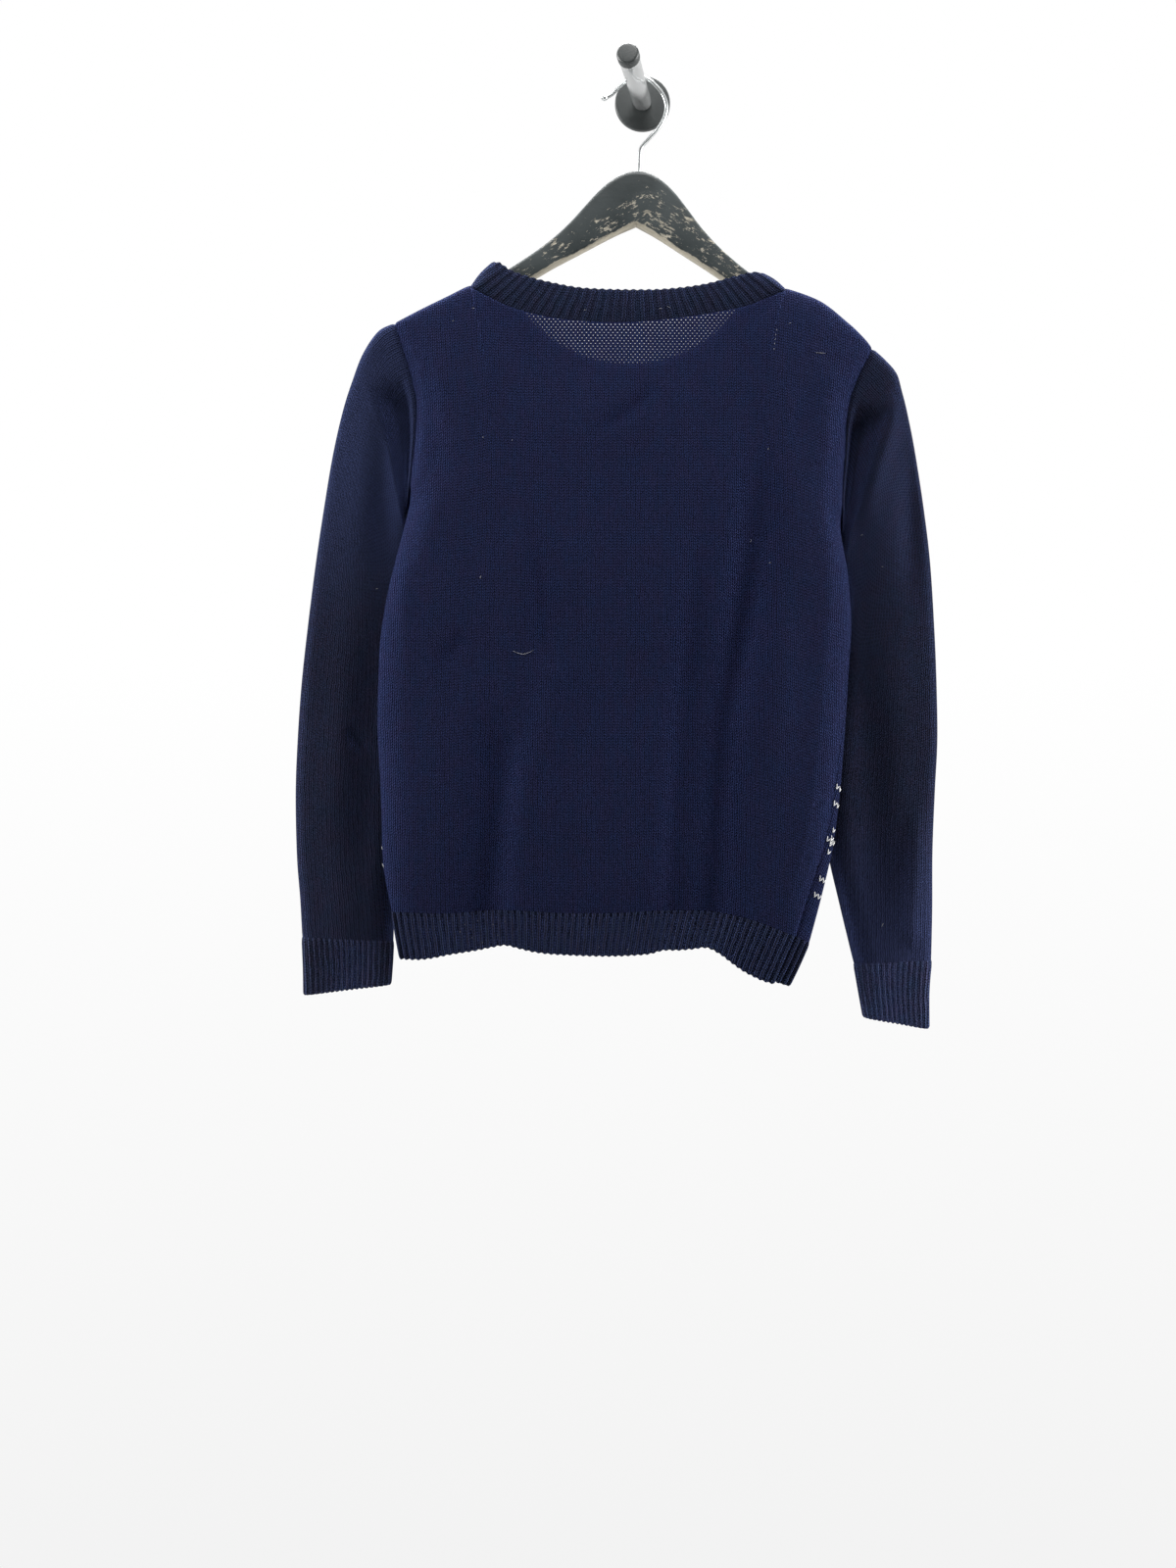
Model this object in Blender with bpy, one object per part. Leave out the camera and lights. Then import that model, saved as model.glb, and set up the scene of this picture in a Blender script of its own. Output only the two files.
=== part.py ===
"""A knitted crew-neck pullover on a wooden hanger, hung from a wall hook.

Lengths in the tables are millimetres. The origin is the middle of the wall plate's
back face: +Y runs into the wall, +Z is up and +X is to the right, seen from the room.
The garment shows its back to the room (-Y). Hanger and garment hang tilted together
about the wire's seat on the peg. The cloth is a thin wall: every panel is worked out
as a grid of outer points, and its inner points lie one wall thickness behind them.
"""
import math

import bmesh
import bpy
import numpy as np
from mathutils import Vector

MM = 0.001

# Cloth
CLOTH = 2.4              # wall of plain knit
RIB_WALL = 2.6           # wall of the ribbed bands, under the ridges
NECK_RIB = 8.25          # one ridge and one groove of each band
HEM_RIB = 5.8
CUFF_RIB = 4.8
RIB_RIDGE = 0.8
RIB_GROOVE = -0.4
SEAM_GAP = 0.3

# Hanger
HANG_Y = -29.0           # plane of the hanger, wire and shoulders
HANG_AT = (-3.6, 12.1)   # x, z of the hanger's own origin, at the top of its wire
HANG_TILT = math.radians(2.6)
HANGER_MIDDLE = 3.0      # the hanger's centre line in its own frame
HANGER_THICK = 14.0
HANGER_ROUND = 4.2
HANGER_ROUND_STEPS = 2
WIRE_RADIUS = 1.65
SOCKET_DEPTH = 12.0
SOCKET_SIDES = 16

# Wall hook
PLATE_RADIUS = 24.0
PLATE_THICK = 5.0
PLATE_EDGE = 1.6         # width over which the plate's front edge is rounded
PLATE_EDGE_MIDDLE = 0.5
PLATE_SIDES = 48
PEG_FOOT = (-0.5, -5.3, 0.8)
PEG_END = (-13.4, -81.0, 10.6)
PEG_RADII = (7.8, 8.7)
CAP_RADIUS = 9.4
# the cap's rows: distance along it and how much narrower it is there
CAP_ROWS = ((0.0, 0.3), (0.4, 0.0), (7.0, 0.0), (8.3, 0.8), (9.0, 2.4))

# Panels: grid counts and the soft fold along the sides
EDGE_COLUMNS = 4
SHOULDER_COLUMNS = 2
NECK_COLUMNS = 12
SIDE_ROWS = 9
ARM_SHARES = (0.13, 0.27, 0.42, 0.57, 0.71, 0.83, 0.915, 0.965, 0.988, 1.0)
UNDERARM_SHARE = 0.62    # share of the panel's height that lies below the underarm
SIDE_ROUND = 30.0        # width over which the back rounds into its side
FRONT_LIP = 6.5          # depth of the front's own round at the side
FRONT_LIP_WIDTH = 9.0
FRONT_SLOPE = 75.0       # width over which the front falls back towards the wall
OVER_HANGER = 10.5       # half depth of the cloth over the hanger's arm
OVER_HANGER_DROP = 9.0   # height over which the cloth rounds over the arm
UNDERARM_RISE = 35.0
UNDERARM_Y = -29.5
SIDE_FORWARD = 12.0      # how far the sides stand out towards the room
SIDE_FORWARD_DROP = 80.0
NECK_BACK = 15.5         # half depth of the neck at the back and at the front
NECK_FRONT = 15.0
NECK_FALL = 45.0         # height over which the panels leave the neck's depth
ARM_SLOPE = 0.46         # slope of the hanger's arms beside the neck
HEART = (-30.0, HANG_Y, -450.0)     # a point inside the body
EVEN_PASSES = 3
EVEN_REACH = 3           # columns each side of a neck corner that are evened out
EVEN_SHARE = 0.5
FOLD_FADE = 0.25         # share of a fold's length over which it starts
FOLD_STEPS = 8
HEM_COLUMNS = 24
HEM_SWELL = 0.6          # how far the ribbed bands stand proud in their middle
NECK_SWELL = 0.8
UNDERARM_CURL = 0.6      # share of the underarm's rise over which its edge turns under
DEGREES_SMOOTH = 50.0    # faces that meet at less than this are shaded as one

# x, z of the outlines, from the rib seam up
SIDE_LEFT = ((-215.6, -701.0), (-222.0, -668.0), (-225.0, -591.0), (-227.5, -546.0),
             (-225.0, -470.0), (-218.0, -426.0), (-209.0, -389.0), (-201.5, -357.0))
SIDE_RIGHT = ((141.0, -728.0), (149.0, -698.0), (158.0, -662.0), (165.1, -617.0),
              (170.3, -560.0), (174.7, -495.0), (177.2, -449.0), (174.5, -412.0),
              (169.3, -378.0))
ARM_LEFT_BACK = ((-201.5, -357.0), (-197.3, -321.0), (-194.0, -285.0),
                 (-195.5, -257.0), (-203.0, -230.0), (-213.5, -197.6))
ARM_LEFT_FRONT = ((-201.5, -357.0), (-192.5, -321.0), (-188.5, -285.0),
                  (-191.0, -257.0), (-200.5, -230.0), (-213.5, -197.6))
ARM_RIGHT_BACK = ((169.3, -378.0), (169.3, -342.0), (171.8, -307.0), (173.5, -279.0),
                  (180.0, -253.0), (196.5, -219.5))
ARM_RIGHT_FRONT = ((169.3, -378.0), (164.0, -342.0), (165.5, -307.0), (168.5, -279.0),
                   (177.0, -253.0), (196.5, -219.5))
SHOULDER_LEFT = ((-213.5, -197.6), (-184.0, -182.5), (-150.0, -166.2))
SHOULDER_RIGHT = ((125.0, -169.0), (144.0, -174.4), (154.0, -180.6), (171.7, -194.3),
                  (187.7, -209.0), (196.5, -219.5))
NECK_SEAM_BACK = ((-150.0, -166.2), (-142.4, -172.0), (-129.1, -178.9), (-110.0, -187.5),
                  (-74.5, -196.3), (-40.0, -199.5), (-14.2, -199.8), (17.4, -197.3),
                  (49.0, -193.1), (81.5, -187.0), (97.4, -181.4), (112.0, -175.5),
                  (125.0, -169.0))
NECK_SEAM_FRONT = ((-150.0, -166.2), (-143.0, -181.0), (-128.0, -201.0), (-105.0, -225.0),
                   (-75.0, -246.5), (-42.0, -260.0), (-13.0, -264.0), (20.0, -259.5),
                   (55.0, -244.0), (84.0, -221.0), (106.0, -198.0), (119.0, -183.0),
                   (125.0, -169.0))
NECK_EDGE_BACK = ((-129.0, -145.0), (-122.0, -148.0), (-112.9, -154.5), (-95.4, -161.0),
                  (-63.0, -168.6), (-39.5, -171.1), (-7.5, -171.9), (19.2, -171.1),
                  (49.7, -167.1), (81.6, -158.6), (94.0, -155.2), (101.0, -154.5))
NECK_EDGE_FRONT = ((-129.0, -145.0), (-124.0, -158.0), (-106.0, -183.5), (-88.0, -205.0),
                   (-63.6, -221.6), (-39.4, -233.0), (-15.3, -236.3), (18.6, -231.5),
                   (51.3, -215.2), (82.0, -187.0), (96.0, -168.0), (101.0, -154.5))
HEM_SEAM_BACK = ((-215.6, -701.0), (-167.0, -702.5), (-122.0, -699.5), (-69.0, -702.0),
                 (-24.0, -702.0), (16.0, -700.0), (56.0, -701.0), (78.0, -704.5),
                 (101.0, -711.0), (128.0, -722.0), (141.0, -728.0))
HEM_SEAM_FRONT = ((-215.6, -701.0), (-167.0, -700.0), (-100.0, -698.0), (-24.0, -699.0),
                  (56.0, -699.0), (101.0, -709.0), (128.0, -721.0), (141.0, -728.0))
HEM_EDGE_BACK = ((-208.3, -742.0), (-187.0, -742.0), (-165.0, -738.0), (-140.0, -734.0),
                 (-117.5, -730.0), (-100.0, -734.5), (-77.5, -737.6), (-32.0, -739.3),
                 (2.5, -737.6), (14.0, -734.5), (35.0, -734.0), (52.5, -732.0),
                 (65.0, -738.0), (82.4, -751.0), (103.0, -761.0), (124.0, -765.0))
HEM_EDGE_FRONT = ((-208.3, -742.0), (-165.0, -735.0), (-117.5, -727.0), (-60.0, -732.0),
                  (0.0, -733.0), (50.0, -728.0), (82.0, -746.0), (103.0, -758.0),
                  (124.0, -765.0))

# height z, depth y of the middle of the back and of the front
BODY_DEPTH = ((-765.0, -48.5, -13.0), (-701.0, -50.0, -11.5), (-640.0, -52.0, -10.0),
              (-550.0, -52.5, -9.5), (-470.0, -51.5, -9.8), (-400.0, -49.5, -11.0),
              (-300.0, -45.5, -13.5), (-240.0, -43.0, -15.0), (-166.0, -41.0, -17.0))

# height z, angle in degrees round the side from its edge to the seam on the back
SEAM_TURN_RIGHT = ((-765.0, 56.0), (-700.0, 55.0), (-640.0, 42.0), (-560.0, 28.0),
                   (-508.0, 20.0), (-449.0, 8.0), (-400.0, 0.0))

# Folds in the back: three points x, z along each, half width and depth of the trough
BACK_FOLDS = (((93.6, -315.0), (77.8, -475.0), (58.0, -700.0), 17.0, 5.0),
              ((38.0, -519.0), (24.0, -620.0), (12.0, -742.0), 13.0, 3.0),
              ((-133.0, -528.0), (-129.0, -600.0), (-124.0, -742.0), 15.0, 4.5),
              ((18.0, -248.0), (-14.0, -277.0), (-47.0, -301.0), 14.0, 2.4))

# Sections of the sleeves from the armhole down: outer point x, z, y,
# inner point x, z, y, and half the depth of the tube
SLEEVE_LEFT = ((-227.5, -205.0, -29.0, -203.6, -362.5, -27.0, 10.5),
               (-240.5, -224.0, -29.0, -203.5, -373.0, -23.5, 10.5),
               (-249.5, -247.0, -28.6, -203.5, -387.0, -20.8, 10.4),
               (-258.0, -273.0, -27.0, -202.8, -404.0, -18.6, 10.2),
               (-267.0, -311.0, -24.5, -202.0, -424.0, -17.0, 10.0),
               (-275.0, -356.0, -21.5, -200.0, -447.0, -15.8, 9.8),
               (-282.0, -400.0, -18.8, -199.8, -472.0, -15.0, 9.6),
               (-289.5, -456.0, -16.3, -201.8, -503.0, -14.2, 9.5),
               (-295.4, -508.0, -14.5, -204.3, -535.0, -13.8, 9.5),
               (-299.0, -559.0, -13.6, -207.4, -568.0, -13.5, 9.5),
               (-300.5, -603.0, -13.5, -210.8, -610.0, -13.5, 9.5),
               (-299.4, -655.0, -13.5, -213.3, -660.0, -13.5, 9.4),
               (-296.6, -692.0, -13.5, -215.0, -697.0, -13.5, 9.2),
               (-294.8, -724.5, -13.5, -215.8, -728.0, -13.5, 8.6))
SLEEVE_RIGHT = ((207.5, -229.5, -29.0, 171.0, -383.5, -27.0, 10.5),
                (217.0, -241.0, -29.0, 171.0, -394.0, -23.5, 10.5),
                (221.5, -256.0, -28.8, 171.5, -407.0, -20.8, 10.4),
                (226.5, -275.0, -27.4, 171.8, -422.0, -18.6, 10.2),
                (233.5, -308.0, -25.0, 172.5, -441.0, -17.2, 10.2),
                (241.5, -356.0, -22.0, 170.5, -463.0, -16.4, 10.2),
                (247.5, -403.0, -19.5, 167.5, -488.0, -15.4, 10.2),
                (251.5, -460.0, -17.4, 163.5, -520.0, -14.8, 10.2),
                (253.7, -508.0, -15.8, 160.5, -548.0, -14.5, 10.2),
                (254.5, -555.0, -15.0, 157.8, -580.0, -14.5, 10.2),
                (252.4, -598.0, -15.0, 156.4, -612.0, -14.5, 10.2),
                (250.3, -650.0, -15.0, 159.5, -650.0, -14.5, 10.4),
                (250.0, -700.0, -15.5, 169.5, -695.0, -15.0, 10.8),
                (249.0, -744.0, -16.0, 182.0, -747.0, -15.5, 11.2))
# Sections of the cuffs below them, the last one at the edge
CUFF_LEFT = ((-293.6, -750.0, -13.5, -217.2, -748.0, -13.5, 8.2),
             (-293.2, -775.4, -13.5, -218.6, -766.5, -13.5, 8.0))
CUFF_RIGHT = ((246.6, -771.0, -16.0, 186.5, -770.0, -15.5, 11.4),
              (246.6, -804.0, -16.0, 190.8, -794.5, -15.5, 11.4))
TUBE_TOP_ROUND = 10.0
TUBE_END_ROUND = 16.0
TUBE_TOP_ANGLES = (0.0, 37.0, 65.0, 90.0)
TUBE_END_ANGLES = (90.0, 45.0, 0.0)
TUBE_MIDDLE_POINTS = 4
BOW_SHARES = (0.8, 0.58, 0.38, 0.2, 0.08)   # how far the armhole's bow carries on

# The hanger's half outline in its own frame: distance from the centre line, height
HANGER_TOP = ((0.0, -80.3), (9.0, -81.3), (20.0, -87.0), (32.0, -97.5), (43.5, -111.0),
              (55.0, -125.0), (68.0, -138.5), (82.0, -150.5), (96.0, -161.0),
              (120.0, -177.7), (150.0, -196.6), (180.0, -210.8), (196.0, -220.4),
              (206.0, -229.4), (215.0, -238.2))
HANGER_TIP = ((220.5, -244.5), (221.5, -249.5), (217.5, -253.0), (211.0, -252.0))
HANGER_UNDER = ((200.0, -242.0), (175.0, -227.5), (150.0, -213.5), (110.0, -190.5),
                (83.0, -174.3), (68.5, -165.0), (40.0, -148.3), (18.0, -135.5),
                (0.0, -126.6))
# The wire from inside the hanger up and over the peg: x, z in the hanger's own frame
WIRE_ROUTE = ((3.3, -92.0), (3.3, -80.0), (3.3, -66.0), (4.6, -58.6), (11.4, -50.0),
              (18.6, -41.0), (23.2, -31.6), (24.3, -21.5), (20.8, -12.4), (13.6, -4.2),
              (7.2, 0.2), (-0.4, 2.2), (-8.0, -0.6), (-15.2, -6.2), (-22.0, -13.6),
              (-27.4, -17.2), (-31.6, -18.2))


# --- small geometry helpers -------------------------------------------------------

def through(points, per_span=10):
    """Dense smooth curve through the given points."""
    p = np.asarray(points, float)
    ends = np.vstack([2 * p[0] - p[1], p, 2 * p[-1] - p[-2]])
    out = []
    for a, b, c, d in zip(ends, ends[1:], ends[2:], ends[3:]):
        for k in range(per_span):
            t = k / per_span
            out.append(0.5 * (2 * b + (c - a) * t + (2 * a - 5 * b + 4 * c - d) * t ** 2
                              + (3 * b - a - 3 * c + d) * t ** 3))
    out.append(p[-1])
    return np.array(out)


def length(line):
    return float(np.linalg.norm(np.diff(line, axis=0), axis=1).sum())


def along(line, shares):
    """Points at the given shares of a polyline's length."""
    steps = np.linalg.norm(np.diff(line, axis=0), axis=1)
    run = np.concatenate([[0.0], np.cumsum(steps)])
    where = np.asarray(shares) * run[-1]
    return np.stack([np.interp(where, run, line[:, k]) for k in range(line.shape[1])],
                    axis=-1)


def quarter(x):
    """Rises from 0 to 1 along a quarter of an ellipse."""
    x = np.clip(x, 0.0, 1.0)
    return np.sqrt(1.0 - (1.0 - x) ** 2)


def ease(x):
    """Rises from 0 to 1, level at both ends."""
    x = np.clip(x, 0.0, 1.0)
    return x * x * (3.0 - 2.0 * x)


def table(rows, at, column):
    """One column of a table, read at a value of its first column."""
    rows = sorted(rows)
    return float(np.interp(at, [r[0] for r in rows], [r[column] for r in rows]))


def unit(vectors):
    return vectors / np.maximum(np.linalg.norm(vectors, axis=-1, keepdims=True), 1e-9)


def normals(grid, closed):
    """Unit normals of a grid of points, rows by columns."""
    if closed:
        across = np.roll(grid, -1, axis=1) - np.roll(grid, 1, axis=1)
    else:
        across = np.gradient(grid, axis=1)
    up = np.gradient(grid, axis=0)
    return unit(np.cross(unit(across), unit(up)))


def trimmed(grid, closed, gap=SEAM_GAP / 2):
    """The grid with its borders drawn in by half a seam's gap."""
    out = grid.copy()
    out[0] += unit(grid[1] - grid[0]) * gap
    out[-1] += unit(grid[-2] - grid[-1]) * gap
    if not closed:
        out[:, 0] += unit(grid[:, 1] - grid[:, 0]) * gap
        out[:, -1] += unit(grid[:, -2] - grid[:, -1]) * gap
    return out


def hung(x, z):
    """A point of the hanger's own frame, in world x and z."""
    c, s = math.cos(HANG_TILT), math.sin(HANG_TILT)
    return (HANG_AT[0] + x * c + z * s, HANG_AT[1] - x * s + z * c)


# --- objects ----------------------------------------------------------------------

def material(name, colour, roughness, metallic=0.0):
    mat = bpy.data.materials.get(name) or bpy.data.materials.new(name)
    mat.use_nodes = True
    shader = mat.node_tree.nodes["Principled BSDF"]
    shader.inputs["Base Color"].default_value = (*colour, 1.0)
    shader.inputs["Roughness"].default_value = roughness
    shader.inputs["Metallic"].default_value = metallic
    return mat


def knit_material(name):
    return material(name, (0.012, 0.016, 0.038), 0.9)


def add_object(name, data, mat):
    data.materials.append(mat)
    obj = bpy.data.objects.new(name, data)
    bpy.context.scene.collection.objects.link(obj)
    return obj


def solid_from(name, points, faces, mat):
    """An object from points in millimetres and faces, its faces turned outwards."""
    bm = bmesh.new()
    verts = [bm.verts.new(Vector(p) * MM) for p in np.asarray(points, float)]
    for face in faces:
        bm.faces.new([verts[k] for k in face])
    bmesh.ops.recalc_face_normals(bm, faces=bm.faces)
    mesh = bpy.data.meshes.new(name)
    bm.to_mesh(mesh)
    bm.free()
    mesh.shade_smooth()
    mesh.set_sharp_from_angle(angle=math.radians(DEGREES_SMOOTH))
    return add_object(name, mesh, mat)


def wall(name, outer, inner, closed, mat):
    """A closed cloth wall between two grids of the same size."""
    rows, cols = outer.shape[:2]
    points = np.concatenate([outer.reshape(-1, 3), inner.reshape(-1, 3)])
    back = rows * cols
    faces = []
    spans = cols if closed else cols - 1
    for r in range(rows - 1):
        for c in range(spans):
            a, b = r * cols + c, r * cols + (c + 1) % cols
            faces.append((a, b, b + cols, a + cols))
            faces.append((back + a, back + a + cols, back + b + cols, back + b))
    for r in (0, rows - 1):
        for c in range(spans):
            a, b = r * cols + c, r * cols + (c + 1) % cols
            faces.append((a, back + a, back + b, b) if r == 0 else (a, b, back + b, back + a))
    if not closed:
        for c in (0, cols - 1):
            for r in range(rows - 1):
                a, b = r * cols + c, (r + 1) * cols + c
                faces.append((a, b, back + b, back + a) if c == 0 else (a, back + a, back + b, b))
    return solid_from(name, points, faces, mat)


# --- body panels ------------------------------------------------------------------

def side_rows(side, arm):
    """Points x, z up one side of a panel, from the rib seam over the underarm."""
    low = along(through(side), np.linspace(0.0, 1.0, SIDE_ROWS + 1))
    high = along(through(arm), ARM_SHARES)
    return np.vstack([low, high])


def row_shares():
    low = np.linspace(0.0, UNDERARM_SHARE, SIDE_ROWS + 1)
    high = UNDERARM_SHARE + (1.0 - UNDERARM_SHARE) * np.asarray(ARM_SHARES)
    return np.concatenate([low, high])


def edge_angles(turn, is_back):
    """Angles round the side's edge, from the seam in to where the panel is flat."""
    start = turn if is_back else -turn
    return np.radians(np.linspace(start, 90.0, EDGE_COLUMNS + 1))


def side_distance(angles):
    """How far in from the edge a point lies at an angle round it."""
    return SIDE_ROUND * (1.0 - np.cos(angles))


def side_depth(hanging):
    """Depth y of the side's edge at a height below the underarm."""
    return UNDERARM_Y - SIDE_FORWARD * math.sin(min(max(hanging / SIDE_FORWARD_DROP, 0.0), 1.0)
                                                * math.pi / 2)


def armhole_half_depth(below_tip, above_underarm):
    return (OVER_HANGER * float(quarter(below_tip / OVER_HANGER_DROP))
            * float(quarter(above_underarm / UNDERARM_RISE)))


def fold_depth(x, z):
    """How far the folds push the back in, at one point."""
    total = 0.0
    for start, middle, end, half_width, depth in BACK_FOLDS:
        line = through((start, middle, end), FOLD_STEPS)
        nearest = np.linalg.norm(line - np.array((x, z)), axis=1)
        k = int(nearest.argmin())
        share = k / (len(line) - 1)
        runs_into_hem = end[1] < SIDE_LEFT[1][1]
        from_end = share if runs_into_hem else min(share, 1.0 - share)
        fade = float(ease(from_end / FOLD_FADE))
        total += depth * fade * math.exp(-(nearest[k] / half_width) ** 2)
    return total


def panel_point(is_back, x, z, top, top_depth, top_width, edges):
    """Depth y of a panel's outer point.

    edges holds, for the nearer side: depth of the edge, distance in from it, its angle
    or None past the round, and how much of the front's own lip is there.
    """
    edge_y, inset, angle, lip = edges
    sign = -1.0 if is_back else 1.0
    middle = table(BODY_DEPTH, z, 1 if is_back else 2) - HANG_Y
    reach = top_depth + (abs(middle) - top_depth) * float(quarter((top - z) / top_width))
    flat_y = HANG_Y + sign * reach
    if is_back:
        share = 1.0 if angle is None else math.sin(angle)
        return edge_y + (flat_y - edge_y) * share + fold_depth(x, z) * share
    slope = FRONT_SLOPE * lip + SIDE_ROUND * (1.0 - lip)
    lip_y = edge_y + FRONT_LIP * lip * float(quarter(inset / FRONT_LIP_WIDTH))
    return lip_y + (flat_y - lip_y) * float(ease(inset / slope))


def panel(is_back):
    """Outer points of the back or front, rows up from the rib seam."""
    left = side_rows(SIDE_LEFT, ARM_LEFT_BACK if is_back else ARM_LEFT_FRONT)
    right = side_rows(SIDE_RIGHT, ARM_RIGHT_BACK if is_back else ARM_RIGHT_FRONT)
    hem = through(HEM_SEAM_BACK if is_back else HEM_SEAM_FRONT)
    tops = (through(SHOULDER_LEFT), through(NECK_SEAM_BACK if is_back else NECK_SEAM_FRONT),
            through(SHOULDER_RIGHT))
    neck_half = NECK_BACK if is_back else NECK_FRONT
    shares = row_shares()
    turned = np.linspace(0.0, math.pi, NECK_COLUMNS + 1)
    neck_shares = (1.0 - np.cos(turned)) / 2.0
    inner_columns = 2 * SHOULDER_COLUMNS + NECK_COLUMNS
    grid = np.zeros((len(shares), inner_columns + 2 * EDGE_COLUMNS + 1, 3))
    for r, v in enumerate(shares):
        a, b = left[r], right[r]
        width = float(np.linalg.norm(b - a))
        turn = table(SEAM_TURN_RIGHT, b[1], 1) if r <= SIDE_ROWS else 0.0
        inset_left = side_distance(edge_angles(0.0, is_back))
        angles_right = edge_angles(turn, is_back)
        inset_right = side_distance(angles_right)[::-1]
        bottom_shares = np.concatenate([
            inset_left / width,
            np.linspace(SIDE_ROUND / width, 1.0 - SIDE_ROUND / width, inner_columns + 1)[1:-1],
            1.0 - inset_right / width])
        hem_points = along(hem, bottom_shares)
        top_points, top_depths, top_widths = top_line(tops, neck_shares, turned, neck_half,
                                                      inset_left, inset_right)
        lift_left = a - ((1.0 - v) * left[0] + v * left[-1])
        lift_right = b - ((1.0 - v) * right[0] + v * right[-1])
        plain_left = edge_angles(0.0, is_back)
        for c, u in enumerate(bottom_shares):
            x, z = ((1.0 - v) * hem_points[c] + v * top_points[c]
                    + (1.0 - u) * lift_left + u * lift_right)
            on_left = c <= (grid.shape[1] - 1) // 2
            side = a if on_left else b
            low = left[SIDE_ROWS] if on_left else right[SIDE_ROWS]
            tip = left[-1] if on_left else right[-1]
            inset = u * width if on_left else (1.0 - u) * width
            angle = None
            if c <= EDGE_COLUMNS:
                angle = plain_left[c]
            elif c >= grid.shape[1] - 1 - EDGE_COLUMNS:
                angle = angles_right[grid.shape[1] - 1 - c]
            if r <= SIDE_ROWS:
                edge_y = side_depth(low[1] - side[1])
                lip = 1.0
            else:
                half = armhole_half_depth(tip[1] - side[1], side[1] - low[1])
                edge_y = (UNDERARM_Y if r < len(shares) - 1 else HANG_Y) + \
                    (-half if is_back else half)
                lip = float(ease(1.0 - (side[1] - low[1]) / UNDERARM_RISE))
            wrapped = not is_back and angle is not None and angle < 0.0
            y = panel_point(is_back or wrapped, x, z, top_points[c][1], top_depths[c],
                            top_widths[c], (edge_y, inset, abs(angle) if wrapped else angle, lip))
            grid[r, c] = (x, y, z)
    return grid


def top_line(tops, neck_shares, turned, neck_half, inset_left, inset_right):
    """Points, half depths and rounding heights along shoulder, neck and shoulder."""
    first, neck, last = tops
    rest = np.linspace(SIDE_ROUND, length(first), SHOULDER_COLUMNS + 1)[1:]
    left = along(first, np.concatenate([inset_left, rest]) / length(first))
    rest = np.linspace(0.0, length(last) - SIDE_ROUND, SHOULDER_COLUMNS + 1)[1:]
    right = along(last, np.concatenate([rest[:-1], length(last) - inset_right])
                  / length(last))
    middle = along(neck, neck_shares)[1:]
    points = np.vstack([left, middle, right])
    part = slice(len(left) - 1, len(left) + len(middle))
    depths = np.zeros(len(points))
    depths[part] = loop_depth(points[part], neck_half)
    widths = np.full(len(points), OVER_HANGER_DROP)
    widths[part] += NECK_FALL * np.sin(turned)
    return points, depths, widths


def drop_from_arms(points):
    """How far points x, z of the neck's loop lie below the hanger's two arms."""
    left = points[0, 1] + ARM_SLOPE * (points[:, 0] - points[0, 0]) - points[:, 1]
    right = points[-1, 1] + ARM_SLOPE * (points[-1, 0] - points[:, 0]) - points[:, 1]
    return np.minimum(left, right)


def loop_depth(points, neck_half):
    """Half depth of the neck's loop: it clears the hanger's arm as soon as it leaves it."""
    across = (points[:, 0] - points[0, 0]) / (points[-1, 0] - points[0, 0])
    return (OVER_HANGER * quarter(drop_from_arms(points) / OVER_HANGER_DROP)
            + (neck_half - OVER_HANGER) * np.sin(across * math.pi))


def neck_normals(seam, sign):
    """Directions out of the cloth along the neck seam: up over the arms, then level."""
    up = np.clip(1.0 - drop_from_arms(seam[:, [0, 2]]) / OVER_HANGER_DROP, 0.0, 1.0)
    lean = np.linspace(-ARM_SLOPE, ARM_SLOPE, len(seam))
    level = sign * np.sqrt(1.0 - up ** 2)
    return unit(np.stack([up * lean, level, up], axis=-1))


# --- sleeves and cuffs ------------------------------------------------------------

def tube_section(row, bow=None, wall_inset=0.0, likeness=0.0):
    """One ring of a flat tube: down its back from the outer point, up its front.

    likeness says how far the ring's points still follow the armhole's spacing.
    """
    outer = np.array(row[0:3])[[0, 2, 1]]
    inner = np.array(row[3:6])[[0, 2, 1]]
    half = row[6] - wall_inset
    chord = unit(inner - outer)
    outer, inner = outer + chord * wall_inset, inner - chord * wall_inset
    span = float(np.linalg.norm(inner - outer))
    top = TUBE_TOP_ROUND * (1.0 - np.cos(np.radians(TUBE_TOP_ANGLES)))
    end = span - TUBE_END_ROUND * (1.0 - np.cos(np.radians(TUBE_END_ANGLES)))
    middle = np.linspace(top[-1], end[0], TUBE_MIDDLE_POINTS + 2)[1:-1]
    armhole_place = (1.0 - np.array((0.0,) + ARM_SHARES)[::-1]) * span
    place = (1.0 - likeness) * np.concatenate([top, middle, end]) + likeness * armhole_place
    end_round = TUBE_END_ROUND + likeness * (UNDERARM_RISE - TUBE_END_ROUND)
    depth = half * np.minimum(quarter(place / TUBE_TOP_ROUND),
                              quarter((span - place) / end_round))
    line = outer + (inner - outer) * (place / span)[:, None]
    back, front = line.copy(), line.copy()
    if bow is not None:
        back[:, [0, 2]] += bow[0]
        front[:, [0, 2]] += bow[1]
    back[:, 1] -= depth
    front[:, 1] += depth
    return np.vstack([back, front[-2:0:-1]])


def chord_offsets(points):
    """How far a row of points lies off the straight line between its ends, in x and z."""
    flat = points[:, [0, 2]]
    run = np.concatenate([[0.0], np.cumsum(np.linalg.norm(np.diff(flat, axis=0), axis=1))])
    share = (run / run[-1])[:, None]
    return flat - (flat[0] * (1.0 - share) + flat[-1] * share)


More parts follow.
